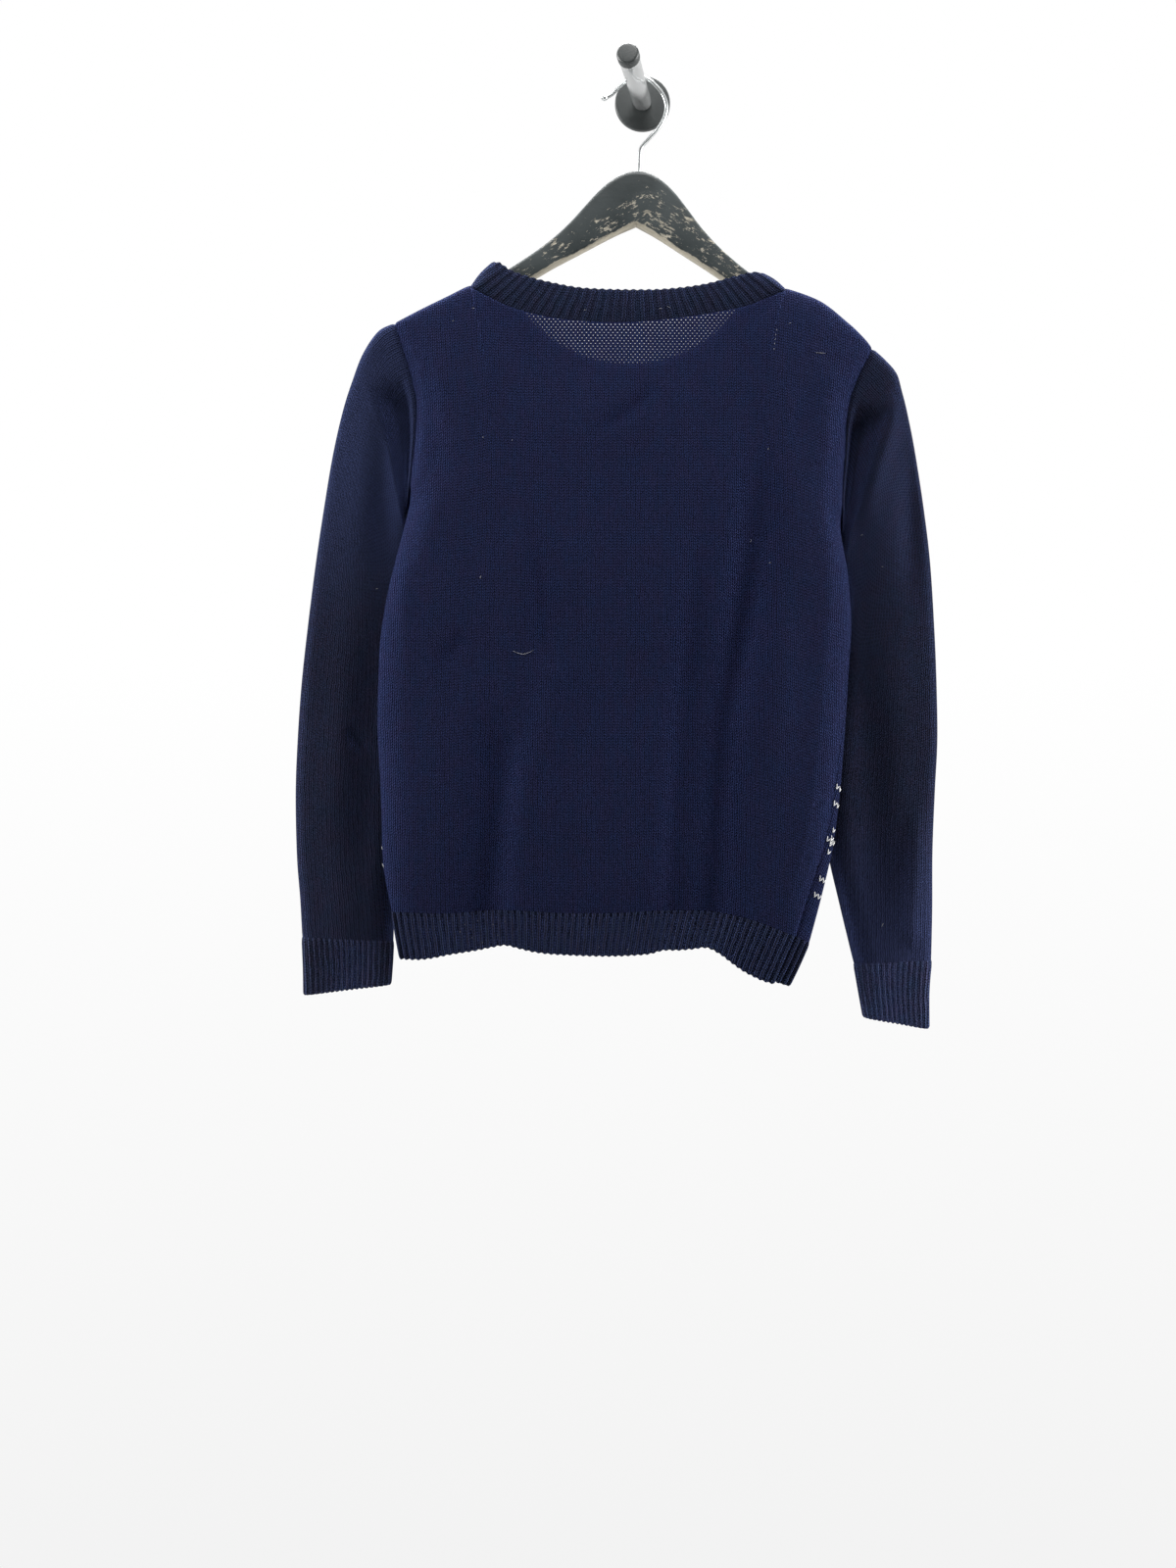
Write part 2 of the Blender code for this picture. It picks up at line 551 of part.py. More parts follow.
def sleeve(back, front, on_left, rows):
    """Rings of the sleeve, from the armhole seam down to the cuff seam."""
    column = 0 if on_left else -1
    seam_back = back[SIDE_ROWS:, column][::-1]
    seam_front = front[SIDE_ROWS:, column][::-1]
    rings = [np.vstack([seam_back, seam_front[-2:0:-1]])]
    linings = [rings[0] - seam_normals(rings[0]) * CLOTH]
    bow = (chord_offsets(seam_back), chord_offsets(seam_front))
    for k, row in enumerate(rows):
        part = BOW_SHARES[k] if k < len(BOW_SHARES) else 0.0
        bows = (bow[0] * part, bow[1] * part)
        rings.append(tube_section(row, bows, 0.0, part))
        linings.append(tube_section(row, bows, CLOTH, part))
    return np.array(rings), np.array(linings)


def seam_normals(ring):
    """Directions out of the armhole's loop: along Y on its sides, round its two ends."""
    count = len(ARM_SHARES) + 1
    top, low = ring[0], ring[count - 1]
    chord = unit(low - top)
    run = (ring - top) @ chord
    span = float(np.linalg.norm(low - top))
    up = np.clip(1.0 - run / OVER_HANGER_DROP, 0.0, 1.0)
    down = np.clip(1.0 - (span - run) / (UNDERARM_RISE * UNDERARM_CURL), 0.0, 1.0)
    side = np.sign(ring[:, 1] - HANG_Y)
    side[[0, count - 1]] = 0.0
    flat = np.sqrt(1.0 - np.maximum(up, down) ** 2)
    return unit(side[:, None] * flat[:, None] * np.array((0.0, 1.0, 0.0))
                + (down - up)[:, None] * chord)


# --- ribbed bands -----------------------------------------------------------------

def rib_columns(line, pitch):
    """Columns of points for a line's ribs: one on each ridge and one in each groove."""
    return 2 * round(length(line) / pitch)


def ribbed(name, grid, n):
    """A strip of rib whose outer points rise and fall from column to column."""
    cut = trimmed(grid, False, gap=SEAM_GAP)
    relief = np.where(np.arange(grid.shape[1]) % 2 == 0, RIB_GROOVE, RIB_RIDGE)
    relief[[0, -1]] = 0.0
    wall(name, cut + n * relief[None, :, None], cut - n * RIB_WALL, False,
         knit_material("rib_knit"))


def outward(grid, closed, centre=None):
    """Normals that point away from the grid's middle, or to the side it bulges to."""
    n = normals(grid, closed)
    middle = grid.reshape(-1, 3).mean(axis=0) if centre is None else np.asarray(centre)
    if (n * (grid - middle)).sum() < 0.0:
        n = -n
    return n


# --- the pieces -------------------------------------------------------------------

def build_body():
    """Back, front, sleeves, and the bands that join them."""
    back, front = panel(True), panel(False)
    n_back, n_front = outward(back, False, HEART), outward(front, False, HEART)
    sleeves = {}
    for on_left, rows in ((True, SLEEVE_LEFT), (False, SLEEVE_RIGHT)):
        sleeves[on_left] = sleeve(back, front, on_left, rows)
    share_side_normals(n_back, n_front)
    first = EDGE_COLUMNS + SHOULDER_COLUMNS
    last = first + NECK_COLUMNS + 1
    n_back[-1, first:last] = neck_normals(back[-1, first:last], -1.0)
    n_front[-1, first:last] = neck_normals(front[-1, first:last], 1.0)
    for n in (n_back, n_front):
        for corner in (first, last - 1):
            even_out(n, corner)
    for on_left in (True, False):
        share_arm_normals(n_back, n_front, sleeves[on_left][0][0], on_left)
    knit = knit_material("plain_knit")
    for name, grid, n in (("back_panel", back, n_back), ("front_panel", front, n_front)):
        cut = trimmed(grid, False)
        neck = cut[-1, first:last]
        down = unit(np.cross(np.gradient(neck, axis=0), n[-1, first:last]))
        neck += down * np.sign(-down[:, 2:].sum()) * SEAM_GAP
        wall(name, cut, cut - n * CLOTH, False, knit)
    for on_left, name in ((True, "sleeve_left"), (False, "sleeve_right")):
        outer, lining = sleeves[on_left]
        wall(name, trimmed(outer, True), trimmed(lining, True), True, knit)
    build_hem(back, front, n_back, n_front)
    build_cuff("cuff_left", sleeves[True], CUFF_LEFT)
    build_cuff("cuff_right", sleeves[False], CUFF_RIGHT)
    build_neckband(back, front, n_back, n_front)


def share_side_normals(n_back, n_front):
    """Both panels cut square to the cloth at the side and shoulder seams."""
    for column in (0, -1):
        shared = unit(n_back[:SIDE_ROWS + 1, column] + n_front[:SIDE_ROWS + 1, column])
        n_back[:SIDE_ROWS + 1, column] = shared
        n_front[:SIDE_ROWS + 1, column] = shared
    shoulder = EDGE_COLUMNS + SHOULDER_COLUMNS
    for columns in (slice(0, shoulder + 1), slice(-shoulder - 1, None)):
        shared = unit(n_back[-1, columns] + n_front[-1, columns])
        n_back[-1, columns] = shared
        n_front[-1, columns] = shared


def even_out(n, corner):
    """Evens the normals out round a neck corner, where the cloth bends two ways."""
    columns = range(corner - EVEN_REACH, corner + EVEN_REACH + 1)
    for _ in range(EVEN_PASSES):
        before = n.copy()
        for column in columns:
            around = (before[-8:-2, column] + before[-6:, column]
                      + before[-7:-1, column - 1] + before[-7:-1, column + 1])
            n[-7:-1, column] = unit(before[-7:-1, column] + EVEN_SHARE * around)


def share_arm_normals(n_back, n_front, ring, on_left):
    """The panels cut square to the armhole's loop, as the sleeve is."""
    column = 0 if on_left else -1
    count = len(ARM_SHARES) + 1
    loop = seam_normals(ring)
    for k in range(1, count - 1):
        row = len(ARM_SHARES) + SIDE_ROWS - k
        n_back[row, column] = loop[k]
        n_front[row, column] = loop[len(ring) - k]


def hem_row(is_back):
    """The hem's edge as one row of panel points."""
    line = through(HEM_EDGE_BACK if is_back else HEM_EDGE_FRONT)
    width = length(line)
    turn = table(SEAM_TURN_RIGHT, line[-1][1], 1)
    angles_left = edge_angles(0.0, is_back)
    angles_right = edge_angles(turn, is_back)
    inner = np.linspace(SIDE_ROUND, width - SIDE_ROUND, HEM_COLUMNS)[1:-1]
    inset = np.concatenate([side_distance(angles_left), inner,
                            width - side_distance(angles_right)[::-1]])
    points = along(line, inset / width)
    edge_y = side_depth(SIDE_FORWARD_DROP)
    row = []
    for k, (x, z) in enumerate(points):
        near = min(inset[k], width - inset[k])
        angle = None
        if k < len(angles_left):
            angle = angles_left[k]
        elif k >= len(points) - len(angles_right):
            angle = angles_right[len(points) - 1 - k]
        wrapped = not is_back and angle is not None and angle < 0.0
        y = panel_point(is_back or wrapped, x, z, z + length(line), 0.0, 1.0,
                        (edge_y, near, abs(angle) if wrapped else angle, 1.0))
        row.append((x, y, z))
    return np.array(row)


def build_hem(back, front, n_back, n_front):
    """The two ribbed strips below the panels, cut alike at the side seams."""
    strips = []
    for is_back, panel_grid, panel_n in ((True, back, n_back), (False, front, n_front)):
        seam, edge = panel_grid[0], hem_row(is_back)
        shares = np.linspace(0.0, 1.0, rib_columns(seam, HEM_RIB) + 1)
        top, low = along(seam, shares), along(edge, shares)
        top_n = unit(along_values(seam, panel_n[0], shares))
        grid = np.array((top, (top + low) / 2 + top_n * HEM_SWELL, low))
        n = outward(grid, False, (HEART[0], HEART[1], grid[..., 2].mean()))
        n[0] = top_n
        strips.append((grid, n))
    for column in (0, -1):
        shared = unit(strips[0][1][:, column] + strips[1][1][:, column])
        for grid, n in strips:
            n[:, column] = shared
    for name, (grid, n) in zip(("hem_rib_back", "hem_rib_front"), strips):
        ribbed(name, grid, n)


def along_values(line, values, shares):
    """Values given at a polyline's points, read at shares of its length."""
    run = np.concatenate([[0.0], np.cumsum(np.linalg.norm(np.diff(line, axis=0), axis=1))])
    where = np.asarray(shares) * run[-1]
    return np.stack([np.interp(where, run, values[:, k]) for k in range(3)], axis=-1)


def closed_line(ring):
    return np.vstack([ring, ring[:1]])


def build_cuff(name, sleeve_grids, rows):
    outer, lining = sleeve_grids
    seam, inside = closed_line(outer[-1]), closed_line(lining[-1])
    count = rib_columns(seam, CUFF_RIB)
    shares = np.arange(count) / count
    rings, linings = [along(seam, shares)], [along(inside, shares)]
    for row in rows:
        rings.append(along(closed_line(tube_section(row)), shares))
        linings.append(along(closed_line(tube_section(row, None, RIB_WALL)), shares))
    grid = trimmed(np.array(rings), True)
    inner = trimmed(np.array(linings), True)
    relief = np.where(np.arange(count) % 2 == 0, RIB_GROOVE, RIB_RIDGE)
    wall(name, grid + unit(grid - inner) * relief[None, :, None], inner, True,
         knit_material("rib_knit"))


def build_neckband(back, front, n_back, n_front):
    """The ribbed band round the neck, in one ring."""
    first = EDGE_COLUMNS + SHOULDER_COLUMNS
    last = first + NECK_COLUMNS
    loops = []
    for grid, n, edge, half in ((back, n_back, NECK_EDGE_BACK, -NECK_BACK),
                                (front, n_front, NECK_EDGE_FRONT, NECK_FRONT)):
        seam, seam_n = grid[-1, first:last + 1], n[-1, first:last + 1]
        shares = np.linspace(0.0, 1.0, rib_columns(seam, NECK_RIB) + 1)
        top = along(through(edge), shares)
        depth = loop_depth(top, abs(half))
        rim = np.stack([top[:, 0], HANG_Y + math.copysign(1.0, half) * depth, top[:, 1]],
                       axis=-1)
        loops.append((along(seam, shares), unit(along_values(seam, seam_n, shares)), rim))
    join = [np.vstack([loops[0][k], loops[1][k][-2:0:-1]]) for k in range(3)]
    seam, seam_n, rim = join
    middle = (seam + rim) / 2
    grid = np.array([seam, middle, rim])
    centre = grid.mean(axis=1, keepdims=True)
    normal = normals(grid, True)
    if (normal * (grid - centre)).sum() < 0.0:
        normal = -normal
    grid[1] += normal[1] * NECK_SWELL
    normal[0] = seam_n
    grid = trimmed(grid, True)
    relief = np.where(np.arange(grid.shape[1]) % 2 == 0, RIB_GROOVE, RIB_RIDGE)
    wall("neckband", grid + normal * relief[None, :, None], grid - normal * RIB_WALL, True,
         knit_material("rib_knit"))


def build_hanger():
    """The wooden bow with its rounded edges, a socket for the wire, and the wire."""
    top, under = through(HANGER_TOP, 2), through(HANGER_UNDER, 2)
    tip = through((HANGER_TOP[-1],) + HANGER_TIP + (HANGER_UNDER[0],), 2)
    half = np.vstack([top, tip[1:-1], under])
    mirror = half[1:-1][::-1] * np.array((-1.0, 1.0))
    outline = [hung(HANGER_MIDDLE + x, z) for x, z in np.vstack([half, mirror])]
    bm = bmesh.new()
    face = bm.faces.new([bm.verts.new(Vector((x, HANG_Y - HANGER_THICK / 2, z)) * MM)
                         for x, z in outline])
    pushed = bmesh.ops.extrude_face_region(bm, geom=[face])
    moved = [v for v in pushed["geom"] if isinstance(v, bmesh.types.BMVert)]
    bmesh.ops.translate(bm, verts=moved, vec=Vector((0.0, HANGER_THICK * MM, 0.0)))
    bmesh.ops.recalc_face_normals(bm, faces=bm.faces)
    ends = {min(v.co.y for v in bm.verts), max(v.co.y for v in bm.verts)}
    rims = [e for e in bm.edges if e.verts[0].co.y == e.verts[1].co.y
            and e.verts[0].co.y in ends]
    bmesh.ops.bevel(bm, geom=rims, offset=HANGER_ROUND * MM,
                    segments=HANGER_ROUND_STEPS, profile=0.5, affect="EDGES")
    mesh = bpy.data.meshes.new("hanger_body")
    bm.to_mesh(mesh)
    bm.free()
    mesh.shade_smooth()
    mesh.set_sharp_from_angle(angle=math.radians(DEGREES_SMOOTH))
    body = add_object("hanger_body", mesh, material("hanger_paint", (0.06, 0.068, 0.07), 0.55))
    cutter_mesh = bpy.data.meshes.new("socket_cutter")
    bm = bmesh.new()
    bmesh.ops.create_cone(bm, cap_ends=True, segments=SOCKET_SIDES,
                          radius1=(WIRE_RADIUS + SEAM_GAP) * MM,
                          radius2=(WIRE_RADIUS + SEAM_GAP) * MM,
                          depth=2 * SOCKET_DEPTH * MM)
    bm.to_mesh(cutter_mesh)
    bm.free()
    cutter = bpy.data.objects.new("socket_cutter", cutter_mesh)
    bpy.context.scene.collection.objects.link(cutter)
    x, z = hung(WIRE_ROUTE[0][0], HANGER_TOP[0][1])
    cutter.location = Vector((x, HANG_Y, z)) * MM
    cutter.rotation_euler = (0.0, HANG_TILT, 0.0)
    cutter.hide_render = True
    cutter.display_type = "WIRE"
    cut = body.modifiers.new("socket", "BOOLEAN")
    cut.operation = "DIFFERENCE"
    cut.object = cutter
    build_wire()


def build_wire():
    route = np.array([(*hung(x, z), 0.0) for x, z in WIRE_ROUTE])[:, [0, 2, 1]]
    route[:, 1] = HANG_Y
    smooth = through(route, 3)
    curve = bpy.data.curves.new("hanger_hook", "CURVE")
    curve.dimensions = "3D"
    curve.bevel_depth = WIRE_RADIUS * MM
    curve.bevel_resolution = 2
    curve.use_fill_caps = True
    line = curve.splines.new("POLY")
    line.points.add(len(smooth) - 1)
    for point, place in zip(line.points, smooth):
        point.co = (*(Vector(place) * MM), 1.0)
    add_object("hanger_hook", curve, material("steel_wire", (0.42, 0.42, 0.42), 0.35, 1.0))


def turned_solid(name, start, end, profile, mat, level_foot=False, sides=32):
    """A round solid about a line: profile rows are distance along it and radius."""
    start, end = Vector(start), Vector(end)
    axis = (end - start).normalized()
    across = axis.cross(Vector((0.0, 0.0, 1.0))).normalized()
    up = across.cross(axis)
    points, faces = [], []
    for k, (run, radius) in enumerate(profile):
        for s in range(sides):
            turn = 2.0 * math.pi * s / sides
            p = start + axis * run + across * (radius * math.cos(turn)) + up * (
                radius * math.sin(turn))
            if level_foot and k == 0:
                p = p + axis * ((start.y - p.y) / axis.y)
            points.append(tuple(p))
    for k in range(len(profile) - 1):
        for s in range(sides):
            a, b = k * sides + s, k * sides + (s + 1) % sides
            faces.append((a, b, b + sides, a + sides))
    faces.append(tuple(range(sides)))
    faces.append(tuple(range((len(profile) - 1) * sides, len(profile) * sides)))
    return solid_from(name, points, faces, mat)


def build_wall_hook():
    """The plate on the wall, the peg that leans up from it, and the peg's cap."""
    black = material("hook_black", (0.012, 0.012, 0.013), 0.5)
    chrome = material("peg_chrome", (0.7, 0.7, 0.71), 0.18, 1.0)
    turned_solid("wall_plate", (0.0, 0.0, 0.0), (0.0, -PLATE_THICK, 0.0),
                 ((0.0, PLATE_RADIUS), (PLATE_THICK - PLATE_EDGE, PLATE_RADIUS),
                  (PLATE_THICK - PLATE_EDGE_MIDDLE, PLATE_RADIUS - PLATE_EDGE_MIDDLE),
                  (PLATE_THICK, PLATE_RADIUS - PLATE_EDGE)), black, sides=PLATE_SIDES)
    peg_length = (Vector(PEG_END) - Vector(PEG_FOOT)).length
    turned_solid("wall_peg", PEG_FOOT, PEG_END,
                 ((0.0, PEG_RADII[0]), (peg_length, PEG_RADII[1])), chrome, level_foot=True)
    axis = (Vector(PEG_END) - Vector(PEG_FOOT)).normalized()
    foot = Vector(PEG_END) + axis * SEAM_GAP
    turned_solid("peg_cap", foot, foot + axis,
                 [(run, CAP_RADIUS - less) for run, less in CAP_ROWS], black)


def main():
    for obj in list(bpy.data.objects):
        bpy.data.objects.remove(obj, do_unlink=True)
    build_wall_hook()
    build_hanger()
    build_body()


main()
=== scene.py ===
"""The looks of a knitted pullover on a wooden hanger, hung from a wall hook.

Tables are in millimetres, in the frame of the solids: +Y runs into the wall and the
garment shows its back to the room. Each cloth piece is worked out as its solid is,
then made finer, folded, ribbed and given stitch coordinates.
"""
import math

import bmesh
import bpy
import numpy as np
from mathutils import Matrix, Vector
from mathutils.bvhtree import BVHTree


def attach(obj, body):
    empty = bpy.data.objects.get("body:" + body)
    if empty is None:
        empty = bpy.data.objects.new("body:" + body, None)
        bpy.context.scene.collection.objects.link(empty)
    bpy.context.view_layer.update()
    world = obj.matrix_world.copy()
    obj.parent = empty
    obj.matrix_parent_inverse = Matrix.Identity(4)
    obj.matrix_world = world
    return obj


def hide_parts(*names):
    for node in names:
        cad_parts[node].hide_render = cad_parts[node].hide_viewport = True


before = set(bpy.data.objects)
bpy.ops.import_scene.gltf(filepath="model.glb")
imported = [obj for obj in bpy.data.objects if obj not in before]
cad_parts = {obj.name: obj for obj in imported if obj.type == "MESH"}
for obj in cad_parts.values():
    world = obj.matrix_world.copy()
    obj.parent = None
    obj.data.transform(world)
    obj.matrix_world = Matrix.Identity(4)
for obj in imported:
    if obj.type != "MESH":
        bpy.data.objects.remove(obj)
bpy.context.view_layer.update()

MM = 0.001

# Cloth
CLOTH = 2.4  # wall of plain knit
RIB_WALL = 2.6  # wall of the ribbed bands, under the ridges
SEAM_GAP = 0.3

# Hanger
HANG_Y = -29.0  # plane of the hanger, wire and shoulders
HANG_AT = (-3.6, 12.1)  # x, z of the hanger's own origin, at the top of its wire
HANG_TILT = math.radians(2.6)
HANGER_MIDDLE = 3.0  # the hanger's centre line in its own frame
HANGER_THICK = 14.0
HANGER_ROUND = 4.2
WIRE_RADIUS = 1.65

# Wall hook
PLATE_RADIUS = 24.0
PLATE_THICK = 5.0
PLATE_ROUND = 1.6  # radius of a rim's edge
PEG_FOOT = (-0.5, -5.3, 0.8)
PEG_END = (-13.4, -81.0, 10.6)
PEG_RADII = (7.8, 8.7)  # at the plate and at the cap
PEG_ROUND = 0.5
CAP_LENGTH = 9.0
CAP_RADIUS = 9.4
CAP_ROUND = 2.4
CAP_BEVEL = (0.3, 0.4)  # in and up, at the rim next to the peg

# Panels: grid counts and the soft fold along the sides
EDGE_COLUMNS = 4
SHOULDER_COLUMNS = 2
NECK_COLUMNS = 12
SIDE_ROWS = 9
ARM_SHARES = (0.13, 0.27, 0.42, 0.57, 0.71, 0.83, 0.915, 0.965, 0.988, 1.0)
UNDERARM_SHARE = 0.62  # share of the panel's height that lies below the underarm
SIDE_ROUND = 30.0  # width over which the back rounds into its side
FRONT_LIP = 6.5  # depth of the front's own round at the side
FRONT_LIP_WIDTH = 9.0
FRONT_SLOPE = 75.0  # width over which the front falls back towards the wall
OVER_HANGER = 10.5  # half depth of the cloth over the hanger's arm
OVER_HANGER_DROP = 9.0  # height over which the cloth rounds over the arm
UNDERARM_RISE = 35.0  # height over which the panels part above the underarm
UNDERARM_TURN = 21.0  # and over which the armhole's seam turns round its lowest point
UNDERARM_Y = -29.5
FAR_BELOW = 1000.0  # so far below a panel's top its rounding plays no part
SIDE_FORWARD = 12.0  # how far the sides stand out towards the room
SIDE_FORWARD_DROP = 80.0
NECK_BACK = 15.5  # half depth of the neck at the back and at the front
NECK_FRONT = 15.0
NECK_FALL = 45.0  # height over which the panels leave the neck's depth
ARM_SLOPE = 0.46  # slope of the hanger's arms beside the neck
EVEN_PASSES = 3
HEART = (-30.0, HANG_Y, -450.0)  # a point inside the body, which all cloth faces away from

# x, z of the outlines, from the rib seam up
SIDE_LEFT = (
    (-215.6, -701), (-222, -668), (-225, -591), (-227.5, -546), (-225, -470), (-218, -426), (-209, -389),
    (-201.5, -357),
)
SIDE_RIGHT = (
    (141, -728), (149, -698), (158, -662), (165.1, -617), (170.3, -560), (174.7, -495), (177.2, -449),
    (174.5, -412), (169.3, -378),
)
ARM_LEFT_BACK = (
    (-201.5, -357), (-197.3, -321), (-194, -285), (-195.5, -257), (-203, -230), (-213.5, -197.6),
)
ARM_LEFT_FRONT = (
    (-201.5, -357), (-192.5, -321), (-188.5, -285), (-191, -257), (-200.5, -230), (-213.5, -197.6),
)
ARM_RIGHT_BACK = (
    (169.3, -378), (169.3, -342), (171.8, -307), (173.5, -279), (180, -253), (196.5, -219.5),
)
ARM_RIGHT_FRONT = ((169.3, -378), (164, -342), (165.5, -307), (168.5, -279), (177, -253), (196.5, -219.5))
SHOULDER_LEFT = ((-213.5, -197.6), (-184, -182.5), (-150, -166.2))
SHOULDER_RIGHT = (
    (125, -169), (144, -174.4), (154, -180.6), (171.7, -194.3), (187.7, -209), (196.5, -219.5),
)
NECK_SEAM_BACK = (
    (-150, -166.2), (-142.4, -172), (-129.1, -178.9), (-110, -187.5), (-74.5, -196.3), (-40, -199.5),
    (-14.2, -199.8), (17.4, -197.3), (49, -193.1), (81.5, -187), (97.4, -181.4), (112, -175.5),
    (125, -169),
)
NECK_SEAM_FRONT = (
    (-150, -166.2), (-143, -181), (-128, -201), (-105, -225), (-75, -246.5), (-42, -260), (-13, -264),
    (20, -259.5), (55, -244), (84, -221), (106, -198), (119, -183), (125, -169),
)
NECK_EDGE_BACK = (
    (-129, -145), (-122, -148), (-112.9, -154.5), (-95.4, -161), (-63, -168.6), (-39.5, -171.1),
    (-7.5, -171.9), (19.2, -171.1), (49.7, -167.1), (81.6, -158.6), (94, -155.2), (101, -154.5),
)
NECK_EDGE_FRONT = (
    (-129, -145), (-124, -158), (-106, -183.5), (-88, -205), (-63.6, -221.6), (-39.4, -233),
    (-15.3, -236.3), (18.6, -231.5), (51.3, -215.2), (82, -187), (96, -168), (101, -154.5),
)
HEM_SEAM_BACK = (
    (-215.6, -701), (-167, -702.5), (-122, -699.5), (-69, -702), (-24, -702), (16, -700), (56, -701),
    (78, -704.5), (101, -711), (128, -722), (141, -728),
)
HEM_SEAM_FRONT = (
    (-215.6, -701), (-167, -700), (-100, -698), (-24, -699), (56, -699), (101, -709), (128, -721),
    (141, -728),
)
HEM_EDGE_BACK = (
    (-208.3, -742), (-187, -742), (-165, -738), (-140, -734), (-117.5, -730), (-100, -734.5),
    (-77.5, -737.6), (-32, -739.3), (2.5, -737.6), (14, -734.5), (35, -734), (52.5, -732), (65, -738),
    (82.4, -751), (103, -761), (124, -765),
)
HEM_EDGE_FRONT = (
    (-208.3, -742), (-165, -735), (-117.5, -727), (-60, -732), (0, -733), (50, -728), (82, -746),
    (103, -758), (124, -765),
)

# height z, depth y of the middle of the back and of the front
BODY_DEPTH = (
    (-765, -48.5, -13), (-701, -50, -11.5), (-640, -52, -10), (-550, -52.5, -9.5), (-470, -51.5, -9.8),
    (-400, -49.5, -11), (-300, -45.5, -13.5), (-240, -43, -15), (-166, -41, -17),
)

# height z, angle in degrees round the side from its edge to the seam on the back
SEAM_TURN_RIGHT = ((-765, 56), (-700, 55), (-640, 42), (-560, 28), (-508, 20), (-449, 8), (-400, 0))

# Sections of the sleeves from the armhole down: outer point x, z, y,
# inner point x, z, y, and half the depth of the tube
SLEEVE_LEFT = (
    (-227.5, -205, -29, -203.6, -362.5, -27, 10.5), (-240.5, -224, -29, -203.5, -373, -23.5, 10.5),
    (-249.5, -247, -28.6, -203.5, -387, -20.8, 10.4), (-258, -273, -27, -202.8, -404, -18.6, 10.2),
    (-267, -311, -24.5, -202, -424, -17, 10), (-275, -356, -21.5, -200, -447, -15.8, 9.8),
    (-282, -400, -18.8, -199.8, -472, -15, 9.6), (-289.5, -456, -16.3, -201.8, -503, -14.2, 9.5),
    (-295.4, -508, -14.5, -204.3, -535, -13.8, 9.5), (-299, -559, -13.6, -207.4, -568, -13.5, 9.5),
    (-300.5, -603, -13.5, -210.8, -610, -13.5, 9.5), (-299.4, -655, -13.5, -213.3, -660, -13.5, 9.4),
    (-296.6, -692, -13.5, -215, -697, -13.5, 9.2), (-294.8, -724.5, -13.5, -215.8, -728, -13.5, 8.6),
)
SLEEVE_RIGHT = (
    (207.5, -229.5, -29, 171, -383.5, -27, 10.5), (217, -241, -29, 171, -394, -23.5, 10.5),
    (221.5, -256, -28.8, 171.5, -407, -20.8, 10.4), (226.5, -275, -27.4, 171.8, -422, -18.6, 10.2),
    (233.5, -308, -25, 172.5, -441, -17.2, 10.2), (241.5, -356, -22, 170.5, -463, -16.4, 10.2),
    (247.5, -403, -19.5, 167.5, -488, -15.4, 10.2), (251.5, -460, -17.4, 163.5, -520, -14.8, 10.2),
    (253.7, -508, -15.8, 160.5, -548, -14.5, 10.2), (254.5, -555, -15, 157.8, -580, -14.5, 10.2),
    (252.4, -598, -15, 156.4, -612, -14.5, 10.2), (250.3, -650, -15, 159.5, -650, -14.5, 10.4),
    (250, -700, -15.5, 169.5, -695, -15, 10.8), (249, -744, -16, 182, -747, -15.5, 11.2),
)
# Sections of the cuffs below them, the last one at the edge
CUFF_LEFT = (
    (-293.6, -750, -13.5, -217.2, -748, -13.5, 8.2), (-293.2, -775.4, -13.5, -218.6, -766.5, -13.5, 8),
)
CUFF_RIGHT = (
    (246.6, -771, -16, 186.5, -770, -15.5, 11.4), (246.6, -804, -16, 190.8, -794.5, -15.5, 11.4),
)
TUBE_TOP_ROUND = 10.0
TUBE_END_ROUND = 16.0
TUBE_TOP_ANGLES = (0, 37, 65, 90)
TUBE_END_ANGLES = (90, 45, 0)
TUBE_MIDDLE_POINTS = 4
BOW_SHARES = (0.8, 0.58, 0.38, 0.2, 0.08)  # how far the armhole's bow carries on

# The hanger's half outline in its own frame: distance from the centre line, height
HANGER_TOP = (
    (0, -80.3), (9, -81.3), (20, -87), (32, -97.5), (43.5, -111), (55, -125), (68, -138.5), (82, -150.5),
    (96, -161), (120, -177.7), (150, -196.6), (180, -210.8), (196, -220.4), (206, -229.4), (215, -238.2),
)
HANGER_TIP = ((220.5, -244.5), (221.5, -249.5), (217.5, -253), (211, -252))
HANGER_UNDER = (
    (200, -242), (175, -227.5), (150, -213.5), (110, -190.5), (83, -174.3), (68.5, -165), (40, -148.3),
    (18, -135.5), (0, -126.6),
)
# The wire from inside the hanger up and over the peg: x, z in the hanger's own frame
WIRE_ROUTE = (
    (3.3, -92), (3.3, -80), (3.3, -66), (4.6, -58.6), (11.4, -50), (18.6, -41), (23.2, -31.6),
    (24.3, -21.5), (20.8, -12.4), (13.6, -4.2), (7.2, 0.2), (-0.4, 2.2), (-8, -0.6), (-15.2, -6.2),
    (-22, -13.6), (-27.4, -17.2), (-31.6, -18.2),
)


